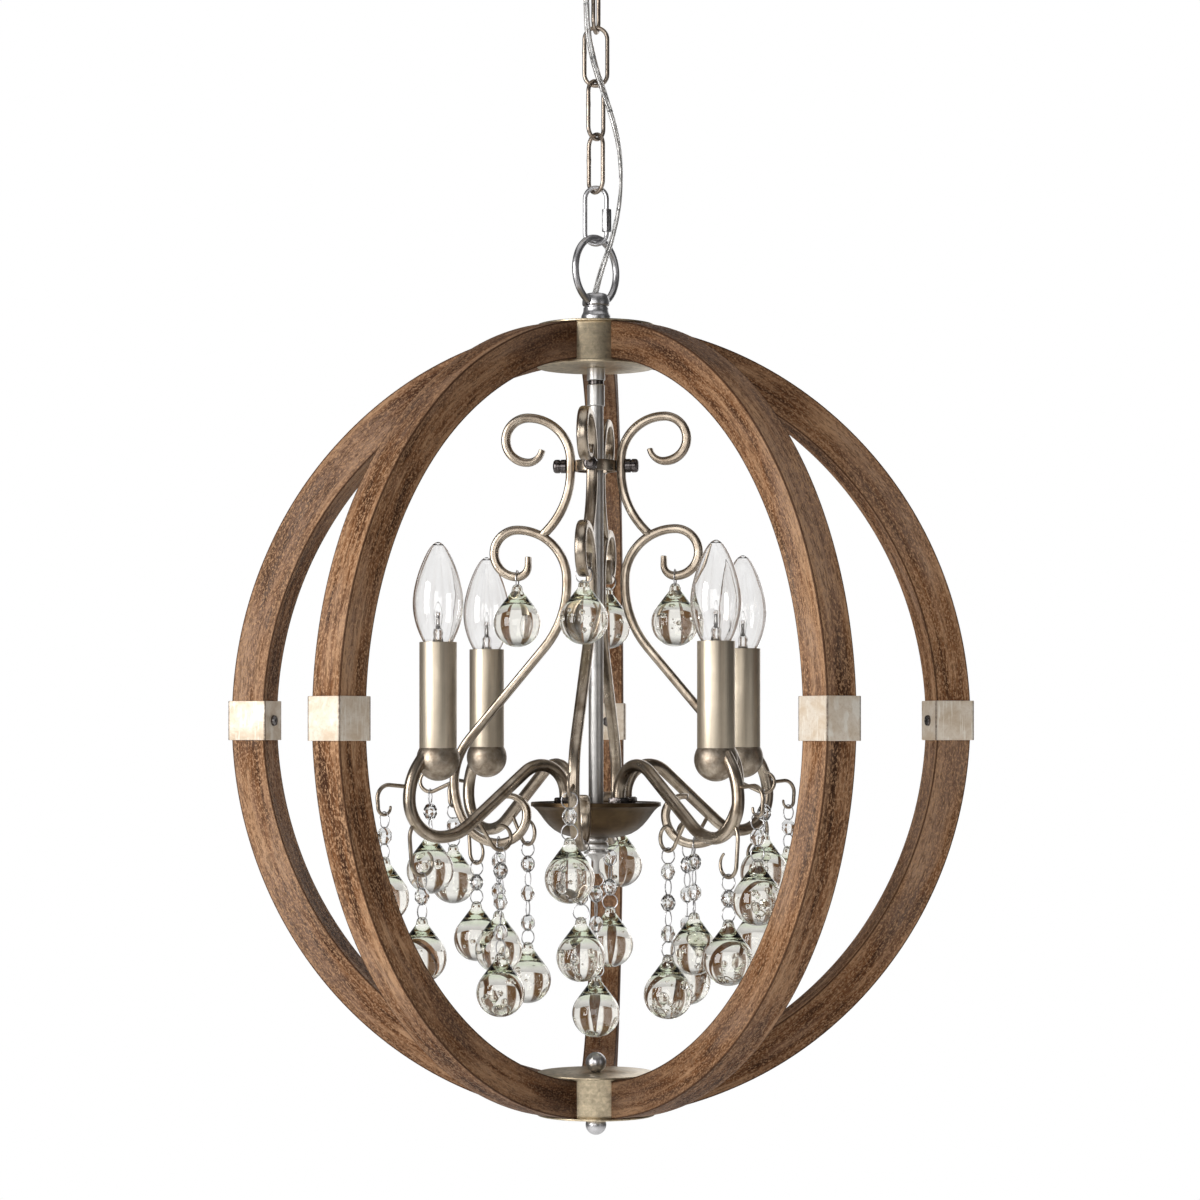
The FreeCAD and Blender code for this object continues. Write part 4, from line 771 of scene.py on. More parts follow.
class Finish(Nodes):
    """A material as it is put together."""

    def __init__(self, name):
        self.material = bpy.data.materials.new(name)
        self.material.use_nodes = True
        super().__init__(self.material.node_tree)
        self.shader = self.tree.nodes["Principled BSDF"]

    def set(self, **sockets):
        """Constant values of the shader, with underscores for the spaces in a socket's name."""
        for socket, value in sockets.items():
            self.shader.inputs[socket.replace("_", " ")].default_value = value

    def feed(self, socket, source):
        self.put(source, self.shader.inputs[socket])

    def place(self, stretch, whole_object=False):
        """Coordinates on the piece, stretched."""
        if whole_object:
            source = self.node("ShaderNodeTexCoord").outputs["Object"]
        else:
            source = self.node("ShaderNodeAttribute", attribute_name="place").outputs["Vector"]
        mapping = self.node("ShaderNodeMapping")
        mapping.inputs["Scale"].default_value = stretch
        self.put(source, mapping.inputs["Vector"])
        return mapping.outputs["Vector"]

    def value(self, attribute):
        return self.node("ShaderNodeAttribute", attribute_name=attribute).outputs["Fac"]

    def noise(self, stretch, detail=3.0, roughness=0.55, distortion=0.0, whole_object=False):
        """Noise on the piece; it is finer where the stretch is larger."""
        made = self.node("ShaderNodeTexNoise")
        levels = {"Scale": 1.0, "Detail": detail, "Roughness": roughness, "Distortion": distortion}
        for socket, value in levels.items():
            made.inputs[socket].default_value = value
        self.put(self.place(stretch, whole_object), made.inputs["Vector"])
        return made.outputs["Fac"]

    def ramp(self, factor, stops):
        """A colour ramp of (position, colour or grey) stops."""
        made = self.node("ShaderNodeValToRGB")
        elements = made.color_ramp.elements
        while len(elements) < len(stops):
            elements.new(0.5)
        for element, (position, shade) in zip(elements, stops):
            element.position = position
            element.color = (*shade, 1.0) if hasattr(shade, "__len__") else (shade, shade, shade, 1.0)
        self.put(factor, made.inputs["Fac"])
        return made.outputs["Color"]

    def bump(self, height, distance, strength=1.0):
        made = self.node("ShaderNodeBump")
        made.inputs["Strength"].default_value = strength
        made.inputs["Distance"].default_value = distance
        self.put(height, made.inputs["Height"])
        self.feed("Normal", made.outputs["Normal"])


made_finishes = {}


def finish(name):
    """A finish by name, made the first time it is asked for."""
    if name not in made_finishes:
        made_finishes[name] = FINISH_MAKERS[name](name).material
    return made_finishes[name]


def shade(source):
    """A plain colour, or a named colour of the settings times a factor."""
    if isinstance(source[0], str):
        return tuple(source[1] * value for value in getattr(settings("finishes"), source[0]))
    return source


def metal(name):
    """Metal in two shades: patches of the dark one, and a grain of fine lines that also roughens it."""
    light, dark, rough, grain, patches, depth, share = METALS[name]
    whole_object = name in FRAME_METALS
    made = Finish(name)
    blotch = made.noise((patches,) * 3, 5.0, 0.62, 0.4, whole_object)
    lines = made.noise(grain, whole_object=whole_object)
    toned = made.mix(made.spread(blotch, 0.0, share), shade(light), shade(dark))
    soft = made.spread(lines, 0.82, 1.12)
    made.feed("Base Color", made.mix(0.55, toned, made.mix(1.0, toned, soft, "MULTIPLY")))
    both = made.weigh(lines, 0.55, blotch, 0.45)
    made.feed("Roughness", made.spread(both, *rough))
    made.bump(both, depth)
    made.set(Metallic=1.0)
    return made


def rib_wood(name):
    """Distressed wood: clouds of stain, streaks along the rib, rubbed flecks, open pores, dark corners and,
    towards the hubs, painted shade that is partly an age stain.
    """
    shades = settings("finishes")
    made = Finish(name)
    stain = made.noise((11, 48, 48), 4.0, 0.6, 0.5)
    streaks = made.noise((9, 210, 210), 4.0, 0.62, 0.2)
    flecks = made.noise((430, 820, 820), 2.0, 0.7)
    pores = made.noise((170, 950, 950), 2.0)
    weather = made.noise((7, 34, 34), 3.0, 0.6)
    tone = made.weigh(streaks, 0.5, stain, 0.5)
    wood = made.ramp(tone, [(0.41, shades.wood_dark), (0.50, shades.wood_middle), (0.61, shades.wood_light)])
    wood = made.mix(made.ramp(weather, [(0.48, 0.0), (0.62, 0.5)]), wood, shades.wood_grey)
    wood = made.mix(made.ramp(flecks, [(0.49, 0.0), (0.63, 0.85)]), wood, shades.wood_light)
    open_pores = made.ramp(pores, [(0.35, 1.0), (0.46, 0.0)])
    wood = made.mix(made.maths("MULTIPLY", open_pores, 0.45), wood, shades.wood_dark)
    rubbed = made.maths("MULTIPLY", made.value("rubbed_band"), made.spread(flecks, 0.0, 0.75))
    wood = made.mix(rubbed, wood, shades.wood_light)
    # Darker towards the hubs: painted shade where less light falls near the hubs, partly an age stain
    shaded_and_stained = made.maths("MULTIPLY", made.value("end_stain"), made.spread(stain, 0.75, 0.35))
    wood = made.mix(shaded_and_stained, wood, shades.wood_dark)
    # A dark line along the rib's corners
    wood = made.mix(made.maths("MULTIPLY", made.value("handled_edge"), 0.85), wood, shades.wood_dark)
    made.feed("Base Color", wood)
    grain = made.weigh(flecks, 0.6, streaks, 0.4)
    made.feed("Roughness", made.spread(grain, 0.72, 0.5))
    made.bump(made.maths("SUBTRACT", grain, made.maths("MULTIPLY", open_pores, 0.4)), 0.0009, 0.85)
    made.set(Specular_IOR_Level=0.12)
    return made


def collar_leaf(name):
    """Metal leaf over sheet: pale, tarnished in patches, with fine mottling, hairline scratches and a painted
    shade line at its corners.
    """
    shades = settings("finishes")
    made = Finish(name)
    patch = made.noise((62, 62, 80), 4.0, 0.6, 0.5)
    mottle = made.noise((520, 520, 520), 3.0, 0.65)
    scratch = made.noise((700, 130, 60), 2.0)
    leaf = made.mix(made.ramp(patch, [(0.40, 0.0), (0.66, 0.7)]), shades.leaf, shades.leaf_worn)
    leaf = made.mix(made.ramp(mottle, [(0.50, 0.0), (0.68, 0.38)]), leaf, shades.leaf_worn)
    leaf = made.mix(made.ramp(scratch, [(0.56, 0.0), (0.66, 0.55)]), leaf, shades.leaf_scratch)
    # A painted shade line along the collar's corners, in the dark wood colour
    corner_shade = made.maths("MULTIPLY", made.value("corner_line"), made.spread(mottle, 0.45, 0.95))
    made.feed("Base Color", made.mix(corner_shade, leaf, shades.wood_dark))
    made.feed("Roughness", made.spread(patch, 0.42, 0.62))
    made.bump(made.maths("ADD", patch, made.maths("MULTIPLY", mottle, 0.4)), 0.0003)
    made.set(Metallic=0.3)
    return made


def plastic(name):
    """Moulded plastic with a fine orange-peel skin."""
    light, rough, gloss = PLASTICS[name]
    made = Finish(name)
    skin = made.noise((900, 900, 900), 2.0)
    cloud = made.noise((120, 120, 120))
    made.feed("Base Color", made.mix(cloud, light, tuple(0.86 * value for value in light)))
    made.feed("Roughness", made.spread(skin, rough, rough + 0.12))
    made.bump(skin, 0.00005)
    made.set(Specular_IOR_Level=gloss)
    return made


def clear_jacket(name):
    """Clear flexible jacket, a little cloudy, with drawing lines along it."""
    made = Finish(name)
    lines = made.noise((20, 1800, 1800), 2.0)
    made.feed("Base Color", made.mix(made.spread(lines, 0.0, 1.0), (0.95, 0.95, 0.94), (0.84, 0.84, 0.83)))
    made.feed("Roughness", made.spread(lines, 0.06, 0.18))
    made.bump(lines, 0.00008)
    made.set(Transmission_Weight=0.94, IOR=1.42)
    return made


def drop_glass(name):
    """Blown glass, greener where it is thick at the neck, with a faint waviness."""
    shades = settings("finishes")
    made = Finish(name)
    split = made.node("ShaderNodeSeparateXYZ")
    made.put(made.place((1, 1, 1)), split.inputs[0])
    neck = made.span(split.outputs["Z"], (-0.045, 0.0), (0.0, 1.0))
    band = made.ramp(neck, [(0.585, 0.0), (0.64, 1.0), (0.80, 1.0), (0.87, 0.15)])
    made.feed("Base Color", made.mix(band, shades.glass, shades.glass_neck))
    made.bump(made.noise((75, 75, 75), 1.0), 0.0008, 0.3)
    made.set(Transmission_Weight=1.0, Roughness=0.0, IOR=1.52)
    return made


def clear_glass(name):
    """Clear glass with a faint waviness."""
    density, clear, tinted, depth, refraction = CLEAR_GLASS[name]
    made = Finish(name)
    wave = made.noise(density, 1.0)
    made.feed("Base Color", made.mix(made.spread(wave, 0.0, 1.0), clear, tinted))
    made.bump(wave, depth, 0.3)
    made.set(Transmission_Weight=1.0, Roughness=0.0, IOR=refraction)
    return made


FINISH_MAKERS = {
    "rib_wood": rib_wood,
    "collar_leaf": collar_leaf,
    "clear_jacket": clear_jacket,
    "drop_glass": drop_glass,
    **dict.fromkeys(METALS, metal),
    **dict.fromkeys(PLASTICS, plastic),
    **dict.fromkeys(CLEAR_GLASS, clear_glass),
}


# Operators
class PENDANT_OT_stage(Operator):
    """Set the camera, the lights and the pale floor"""

    bl_idname = "pendant.stage"
    bl_label = "Stage"

    def execute(self, context):
        stage = settings("stage")
        scene = context.scene
        scene.view_settings.view_transform = "Standard"
        camera = bpy.data.cameras.new("camera")
        camera.lens = stage.lens
        camera.sensor_width = 36.0
        camera.shift_y = stage.lift
        viewer = bpy.data.objects.new("camera", camera)
        viewer.location = (stage.aside, -stage.distance, ORB_CENTER - stage.below)
        viewer.rotation_euler = (math.radians(90), 0, 0)
        scene.collection.objects.link(viewer)
        scene.camera = viewer

        self.light("key", stage.key, (-1.75, -1.35, ORB_CENTER + 0.34), (1.0, 1.5))
        self.light("front", stage.front, (-0.55, -2.42, ORB_CENTER + 0.28), (1.2, 1.3))
        self.light("fill", stage.fill, (1.9, -1.5, ORB_CENTER + 0.1), (0.9, 1.4))
        self.light("top", stage.top, (0.1, -0.2, 0.9), (1.6, 1.6))
        back = self.light("back", stage.back, (0.7, 2.1, ORB_CENTER + 0.5), (1.4, 1.4))
        back.visible_transmission = False
        self.floor(stage.floor_drop)
        self.surround(scene)
        return {"FINISHED"}

    def light(self, name, power, place, extent):
        lamp = bpy.data.lights.new(name, "AREA")
        lamp.energy = power
        lamp.shape = "RECTANGLE"
        lamp.size, lamp.size_y = extent
        item = bpy.data.objects.new(name, lamp)
        item.location = place
        aim = Vector((0, 0, ORB_CENTER)) - Vector(place)
        item.rotation_euler = aim.to_track_quat("-Z", "Y").to_euler()
        bpy.context.scene.collection.objects.link(item)
        return item

    def floor(self, drop):
        half = 3.0
        mesh = bpy.data.meshes.new("floor")
        corners = [(-half, -half, -drop), (half, -half, -drop), (half, half, -drop), (-half, half, -drop)]
        mesh.from_pydata(corners, [], [(0, 1, 2, 3)])
        pale = Finish("pale_floor")
        speck = pale.noise((3, 3, 3), 4.0, whole_object=True)
        pale.feed("Base Color", pale.mix(speck, (0.90, 0.90, 0.89), (0.86, 0.86, 0.85)))
        pale.set(Roughness=0.9, Emission_Color=(1, 1, 1, 1), Emission_Strength=0.30)
        mesh.materials.append(pale.material)
        item = bpy.data.objects.new("floor", mesh)
        bpy.context.scene.collection.objects.link(item)

    def surround(self, scene):
        """A white backdrop in a studio that is dim to metals, even to matt faces and ringed with cards."""
        world = bpy.data.worlds.new("studio")
        world.use_nodes = True
        scene.world = world
        studio = Nodes(world.node_tree)
        background = studio.tree.nodes["Background"]
        way = studio.node("ShaderNodeSeparateXYZ")
        studio.put(studio.node("ShaderNodeTexCoord").outputs["Generated"], way.inputs[0])
        path = studio.node("ShaderNodeLightPath")
        around = studio.maths("ARCTAN2", way.outputs["Y"], way.outputs["X"])
        cards = studio.maths("COSINE", studio.maths("MULTIPLY", around, CARD_COUNT))
        between = studio.span(cards, (-0.45, 0.05), (0.16, 0.93))
        steep = studio.span(studio.maths("ABSOLUTE", way.outputs["Z"]), (0.45, 0.80), (1.0, 0.2))
        through = studio.maths("MULTIPLY", between, steep)
        strength = studio.span(way.outputs["Y"], (0.0, 0.8), (0.05, 0.16))
        levels = (("Is Diffuse Ray", 0.28), ("Is Transmission Ray", through), ("Is Camera Ray", 1.0))
        for ray, level in levels:
            seen = studio.node("ShaderNodeMix")
            for value, socket in zip((path.outputs[ray], strength, level), (0, 2, 3)):
                studio.put(value, seen.inputs[socket])
            strength = seen.outputs[0]
        studio.put(strength, background.inputs["Strength"])
        brown = studio.span(cards, (-0.55, -0.05), (1.0, 0.0))
        brown = studio.maths("MULTIPLY", brown, path.outputs["Is Transmission Ray"])
        studio.put(studio.mix(brown, (1, 1, 1), (1.0, 0.56, 0.28)), background.inputs["Color"])


class PENDANT_OT_cord(Operator):
    """Lay the clear twin cord in front of the chain"""

    bl_idname = "pendant.cord"
    bl_label = "Power cord"

    def execute(self, context):
        sizes = settings("hanging")
        lobe = sizes.cord_thickness / 2
        apart = sizes.cord_width / 2 - lobe
        for index, points in enumerate(self.part_at_links(self.smooth_line())):
            piece = Piece()
            jacket = sweep(points, self.twin_section(lobe, apart), up=CORD_FACING, twist=CORD_TWIST)
            piece.add(jacket, 0, seed=index)
            for side in (-1, 1):
                wire = [(x, side * apart + y) for x, y in round_section(lobe * 0.5, 10)]
                piece.add(sweep(points, wire, up=CORD_FACING, twist=CORD_TWIST), 1, seed=index + side * 0.2)
            cord = piece.build(
                "cord_%d" % (index + 1),
                ["clear_jacket", "tinned_wire"],
                None,
                ["power_cord"] if index == 0 else [],
            )
            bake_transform(cord)
        return {"FINISHED"}

    def smooth_line(self):
        """Points read from the route's spline."""
        curve = bpy.data.curves.new("cord_route", "CURVE")
        curve.dimensions = "3D"
        curve.resolution_u = 14
        spline = curve.splines.new("NURBS")
        spline.points.add(len(CORD_ROUTE) - 1)
        for point, place in zip(spline.points, CORD_ROUTE):
            point.co = (*place, 1.0)
        spline.order_u = 3
        spline.use_endpoint_u = True
        route = bpy.data.objects.new("cord_route", curve)
        bpy.context.scene.collection.objects.link(route)
        mesh = bpy.data.meshes.new_from_object(route.evaluated_get(bpy.context.evaluated_depsgraph_get()))
        points = [vertex.co.copy() for vertex in mesh.vertices]
        bpy.data.meshes.remove(mesh)
        bpy.data.objects.remove(route)
        bpy.data.curves.remove(curve)
        return points

    def part_at_links(self, line):
        """The line's points in one list for each pair of neighbouring links, which share their end points."""
        parts = [[]]
        for point in line:
            parts[-1].append(point)
            if len(parts) <= len(CORD_PARTINGS) and point.z <= CORD_PARTINGS[len(parts) - 1]:
                parts.append([point])
        return parts

    def twin_section(self, lobe, apart):
        """Two round conductors side by side with a groove between them."""
        groove = 68
        steps = 8
        out = []
        for side in (1, -1):
            for index in range(steps + 1):
                turn = math.radians(-groove + 2 * groove * index / steps) + (0 if side > 0 else math.pi)
                out.append((lobe * math.sin(turn), side * apart + lobe * math.cos(turn)))
        return out


class PENDANT_OT_ceiling(Operator):
    """Spin the canopy and make its loop, nuts and bushing"""

    bl_idname = "pendant.ceiling"
    bl_label = "Ceiling fitting"

    def execute(self, context):
        sizes = settings("hanging")
        self.canopy(sizes)
        self.loop(sizes)
        self.nuts()
        low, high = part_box("cord_bushing")
        middle = (low + high) / 2
        tall = high.z - low.z
        outline = [(0.0027, 0), (0.005, 0), (0.006, 0.0025), (0.0039, 0.0025), (0.0039, tall), (0.0027, tall)]
        bushing = lathe(eased(outline, 0.0006, True), 40)
        where = Matrix.Translation((middle.x, middle.y, low.z))
        single("cord_bushing_moulded", bushing, where, "bushing_plastic", "canopy", "cord_bushing")
        refinish("canopy_crossbar", "zinc")
        return {"FINISHED"}

    def canopy(self, sizes):
        hole = 0.0052
        flat = sizes.canopy_flat * 0.86
        radius = sizes.canopy_radius
        height = sizes.canopy_height
        wall = sizes.canopy_wall
        dome = height - 0.006
        steps = 14
        outside = [(hole, 0), (flat, 0)]
        for step in range(1, steps + 1):
            turn = math.radians(90 * step / steps)
            outside.append((flat + (radius - flat) * math.sin(turn) ** 0.92, dome * (1 - math.cos(turn))))
        outside += [(radius, height - 0.0012), (radius - 0.0003, height)]
        inside = [(radius - wall, height)]
        for reach, level in reversed(outside[1:-1]):
            inside.append((max(hole, reach - wall), level + (wall if level < dome * 0.6 else 0)))
        cover = lathe(outside + inside + [(hole, wall)], 96)
        single("canopy_spun", cover, raised(-height), "champagne", "canopy", "canopy")

    def loop(self, sizes):
        low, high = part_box("canopy_loop")
        wire = sizes.loop_wire
        center = low.z + wire + sizes.loop_radius
        top = center + sizes.loop_radius + wire
        piece = Piece()
        ring = sweep(circle_line(sizes.loop_radius, 56), round_section(wire, 16), closed=True)
        piece.add(ring, 0, raised(center))
        neck = [(0, -0.006), (0.0036, -0.0055), (0.0042, -0.002)]
        neck += [(0.0064, 0.0006), (0.0064, 0.0014), (0, 0.0014)]
        piece.add(lathe(eased([(radius, top + level) for radius, level in neck], 0.0008), 40))
        radius = sizes.nipple_radius
        tall = high.z - top
        threads = 44
        nipple = [(0, top)]
        for thread in range(threads):
            level = top + tall * thread / threads
            nipple += [(radius, level), (radius * 0.93, level + tall / threads / 2)]
        nipple += [(radius * 0.9, high.z), (0, high.z)]
        piece.add(lathe(nipple, 32))
        piece.build("canopy_loop_cast", ["chain_metal"], "canopy", ["canopy_loop"])

    def nuts(self):
        low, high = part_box("canopy_nuts")
        bore = 0.0050
        thick = 0.004
        outline = [(bore, 0), (0.0105, 0), (0.013, 0.002), (0.013, 0.007), (bore, 0.007)]
        piece = Piece()
        piece.add(lathe(eased(outline, 0.0008, True), 56), 0, raised(low.z))
        piece.add(hex_nut(0.015, thick, bore), 0, raised(high.z - thick), seed=1)
        piece.build("canopy_nuts_turned", ["champagne"], "canopy", ["canopy_nuts"])


class PENDANT_OT_chain(Operator):
    """Bend the chain's links, the quick link with its sleeve nut, and the hanging ring"""

    bl_idname = "pendant.chain"
    bl_label = "Chain"

    def execute(self, context):
        sizes = settings("hanging")
        wire = sizes.link_wire
        for index, azimuth in enumerate(LINK_AZIMUTHS, start=1):
            node = "chain_link_%d" % index
            low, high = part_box(node)
            line = oval_line(high.z - low.z - 2 * wire, sizes.link_width - 2 * wire)
            link = sweep(line, round_section(wire, 14), closed=True, swell=self.weld)
            piece = Piece()
            piece.add(link, 0, raised(high.z - wire) @ turned(azimuth), seed=index)
            piece.build(node + "_bent", ["chain_metal"], node, [node])
        self.quick_link(sizes)
        low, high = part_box("hanging_ring")
        section = round_section(sizes.ring_wire, 18)
        ring = sweep(circle_line(sizes.ring_radius, 72), section, closed=True, swell=self.seam)
        where = raised((low.z + high.z) / 2) @ turned(RING_AZIMUTH)
        single("hanging_ring_bent", ring, where, "nickel", "hanging_ring", "hanging_ring")
        return {"FINISHED"}

    def weld(self, distance, total):
        """A link's weld is a slight swelling on one of its long sides."""
        return swelling(distance, 0.36 * total, 0.0016, 0.13)

    def seam(self, distance, total):
        """The ring's seam swells less than a weld."""
        return swelling(distance, 0.2 * total, 0.0018, 0.05)

    def quick_link(self, sizes):
        low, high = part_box("quick_link")
        nut_low, nut_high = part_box("quick_link_nut")
        wire = sizes.quick_wire
        top = high.z - wire
        opening = ((nut_low.z + nut_high.z) / 2 - top, 0.005)
        line = oval_line(top - low.z - wire, sizes.quick_width - 2 * wire, opening)
        link = sweep(line, round_section(wire, 14))
        single("quick_link_bent", link, raised(top), "nickel", "quick_link", "quick_link")
        made = hex_nut(0.0066, nut_high.z - nut_low.z, wire * 1.03)
        where = Matrix.Translation(((nut_low.x + nut_high.x) / 2, 0, nut_low.z))
        node = "quick_link_nut"
        single("sleeve_nut_turned", made, where, "sleeve_steel", node, node)


class PENDANT_OT_globe(Operator):
    """Bend the wooden ribs and fit their collars, screws, hubs, knuckle and ball nuts"""

    bl_idname = "pendant.globe"
    bl_label = "Globe of ribs"

    def execute(self, context):
        sizes = settings("globe")
        ribs = Piece()
        for index, azimuth in enumerate(RIB_AZIMUTHS):
            for half in (1, -1):
                self.rib(ribs, sizes, azimuth, half, index * 2 + (half < 0))
        ribs.build("ribs_bent", ["rib_wood"], "lantern", ["rib_arcs"], angle=60)
        self.collars(sizes)
        self.hubs(sizes)
        self.knuckle(sizes)
        self.ball_nuts(sizes)
        return {"FINISHED"}

    def rib(self, ribs, sizes, azimuth, half, number):
        """One arc from the collar to a hub, a little uneven like bent and rubbed wood."""
        outline = self.rib_outline(sizes)
        middle = sizes.rib_radius - sizes.rib_depth / 2
        verts = []
        places = []
        dark_corner = []
        rubbed = []
        ended = []
        for step in range(RIB_STEPS + 1):
            for depth, width, edge, band in outline:
                radius = middle + depth
                end = math.acos(math.sqrt((sizes.hub_radius + FIT) ** 2 - width ** 2) / radius)
                turn = end * step / RIB_STEPS
                place = Vector((middle * turn, depth, width))
                shift = noise.noise(Vector((place.x * 9, depth * 55, width * 55 + number * 7.3))) * RIB_UNEVEN
                reach = radius + math.copysign(shift, depth)
                level = reach * math.sin(turn) * half
                verts.append(Vector((reach * math.cos(turn), width + shift * 0.6, level)))
                places.append(place + Vector((number * 0.83, 0, 0)))
                dark_corner.append(edge)
                rubbed.append(band)
                # Painted shade towards the hub, partly an age stain
                ended.append(max(0.0, 1.0 - (end - turn) * middle / RIB_END_SHADE_AND_STAIN))
        made = (verts, outward(verts, wrap(RIB_STEPS + 1, len(outline), closed=False)), places)
        ribs.add(made, 0, round_axis(azimuth), handled_edge=dark_corner, rubbed_band=rubbed, end_stain=ended)

    def rib_outline(self, sizes):
        """A rib's section as (depth, width, dark corner line, rubbed band beside a corner)."""
        half_depth = sizes.rib_depth / 2
        half_width = sizes.rib_width / 2
        easing = sizes.rib_easing
        beside = easing + 0.0006
        inward = 0.006
        corners = [(1, -1), (1, 1), (-1, 1), (-1, -1)]
        corners = [Vector((depth * half_depth, width * half_width)) for depth, width in corners]
        out = []
        for index, corner in enumerate(corners):
            back = (corners[index - 1] - corner).normalized()
            side = corners[(index + 1) % 4] - corner
            ahead = side.normalized()
            start = corner + back * easing
            end = corner + ahead * easing
            for spot in round_off(start, corner, end, (0, 0.33, 0.67, 1)):
                out.append((spot.x, spot.y, 1.0, 1.0))
            reaches = (beside, inward, side.length / 2, side.length - inward, side.length - beside)
            for reach, band in zip(reaches, (1.0, 0.0, 0.0, 0.0, 1.0)):
                spot = corner + ahead * reach
                out.append((spot.x, spot.y, 0.0, band))
        return out

    def collars(self, sizes):
        reach = max(vertex.co.xy.length for vertex in frame["nodes"]["rib_collars"].data.vertices)
        wall = sizes.collar_wall
        wide = sizes.rib_width / 2 + wall + FIT
        far = math.sqrt(reach ** 2 - wide ** 2)
        near = sizes.rib_radius - sizes.rib_depth - 0.0005 - wall
        tall = sizes.collar_height / 2
        easing = 0.0004
        upper = ((tall - easing, 0), (tall - easing * 0.3, easing * 0.3), (tall, easing), (tall, wall))
        levels = upper + tuple((-level, inset) for level, inset in reversed(upper))
        sleeve, corner_line = self.sleeve(near, far, wide, levels, easing)
        radius = sizes.screw_radius
        head = [(0, 0), (radius, 0), (radius, 0.0006)] + ball_arc(radius * 1.02, 0.0001, 12, 26, 4)
        head += [(0.0026, 0.0018), (0.0009, 0.0018), (0.0008, 0.0013), (0, 0.0013)]
        inwards = Matrix.Rotation(math.radians(-90), 4, "Y")
        collars = Piece()
        screws = Piece()
        for index, azimuth in enumerate(RIB_AZIMUTHS):
            collars.add(sleeve, 0, round_axis(azimuth), seed=index + 1, corner_line=corner_line)
            screws.add(lathe(head, 32), 0, round_axis(azimuth, near) @ inwards, seed=index)
        collars.build("collars_leafed", ["collar_leaf"], "lantern", ["rib_collars"], angle=50)
        screws.build("collar_screws_turned", ["gunmetal"], "lantern", ["collar_screws"])

    def sleeve(self, near, far, wide, levels, easing):
        """A collar of sheet round a rib: a rounded rectangle at each level, drawn in by its inset."""
        corners = [Vector(corner) for corner in ((near, -wide), (far, -wide), (far, wide), (near, wide))]
        middle = Vector(((near + far) / 2, 0))
        verts = []
        corner_line = []
        for level, inset in levels:
            for index, corner in enumerate(corners):
                back = (corners[index - 1] - corner).normalized()
                ahead = (corners[(index + 1) % 4] - corner).normalized()
                inwards = (math.copysign(inset, middle.x - corner.x), math.copysign(inset, -corner.y))
                spot = corner + Vector(inwards)
                trim = max(0.0002, easing - inset * 0.5)
                start = spot + back * trim
                end = spot + ahead * trim
                # The corner's rounding carries the painted shade line, which fades out a little way beside it
                rounding = round_off(start, spot, end, (0, 0.5, 1))
                beside = (start + back * COLLAR_SHADE_LINE, end + ahead * COLLAR_SHADE_LINE)
                for place, line in zip((beside[0], *rounding, beside[1]), (0.0, 1.0, 1.0, 1.0, 0.0)):
                    verts.append(Vector((place.x, place.y, level)))
                    corner_line.append(line)
        return (verts, outward(verts, wrap(len(levels), len(verts) // len(levels)))), corner_line

    def hubs(self, sizes):
        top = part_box("rib_hubs")[1].z - ORB_CENTER
        wall = 0.0015
        lid = top - wall
        radius = sizes.hub_radius
        lip = radius + sizes.hub_lip
        floor = math.sqrt((sizes.rib_radius - sizes.rib_depth) ** 2 - lip ** 2) - FIT
        under = floor - sizes.hub_sheet
        cup = [(ROD_BORE, under), (lip, under), (lip, floor), (radius, floor)]
        cup += [(radius, lid), (radius - wall, lid), (radius - wall, floor), (ROD_BORE, floor)]
        cover = [(ROD_BORE, lid), (lip, lid), (lip, top), (ROD_BORE, top)]
        piece = Piece()
        for half in (1, -1):
            flip = Matrix.Rotation(math.radians(0 if half > 0 else 180), 4, "X")
            piece.add(lathe(eased(cup, 0.0005, True, 2), 128), 0, TO_ORB @ flip, seed=half)
            piece.add(lathe(eased(cover, 0.0005, True, 2), 128), 0, TO_ORB @ flip, seed=half + 3)
        piece.build("hubs_turned", ["hub_metal"], "lantern", ["rib_hubs"], angle=50)

    def knuckle(self, sizes):
        hanging = settings("hanging")
        low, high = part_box("loop_knuckle")
        tall = high.z - low.z
        foot = [(0, 0), (1.04, 0), (1.07, 0.0006), (1.07, 0.0064), (1.03, 0.0074), (0.96, 0.0086)]
        waist = [(0.92, 0.0100), (0.91, 0.0118), (0.91, 0.0124), (0.83, 0.0128), (0.83, 0.0134)]
        shoulder = [(0.97, 0.0139), (1.0, 0.0148), (1.0, tall - 0.0062), (0.98, tall - 0.0046)]
        crown = [(0.91, tall - 0.0024), (0.80, tall - 0.0009), (0.66, tall - 0.0002), (0.5, tall), (0, tall)]
        outline = [(share * sizes.knuckle_radius, level) for share, level in foot + waist + shoulder + crown]
        verts, faces = lathe(eased(outline, 0.0005, False, 2), 64)
        body = ([vert + Vector((0, 0, low.z)) for vert in verts], faces)
        ring_low, ring_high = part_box("hanging_ring")
        place = raised((ring_low.z + ring_high.z) / 2 - 0.0002) @ turned(RING_AZIMUTH)
        section = round_section(hanging.ring_wire + 0.0005, 20)
        bore = sweep(circle_line(hanging.ring_radius, 96), section, closed=True)
        made = carve(body, ([place @ vert for vert in bore[0]], bore[1]))
        single("knuckle_turned", made, raised(0), "nickel", "lantern", "loop_knuckle")

    def ball_nuts(self, sizes):
        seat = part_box("rib_hubs")[0].z
        low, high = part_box("hub_ball_nuts")
        radius = sizes.ball_radius
        finial = low.z + radius
        nut = high.z - radius
        flat = nut - radius * 0.93
        piece = Piece()
        ball = [(0, finial - radius)] + ball_arc(radius, finial, -84, 62, 18)
        ball += [(radius * 0.42, seat), (0, seat)]
        piece.add(lathe(ball, 48))
        ball = [(0, flat), (radius * 0.4, flat)] + ball_arc(radius, nut, -62, 84, 18) + [(0, nut + radius)]
        piece.add(lathe(ball, 48), seed=1)
        piece.build("ball_nuts_turned", ["nickel"], "lantern", ["hub_ball_nuts"])


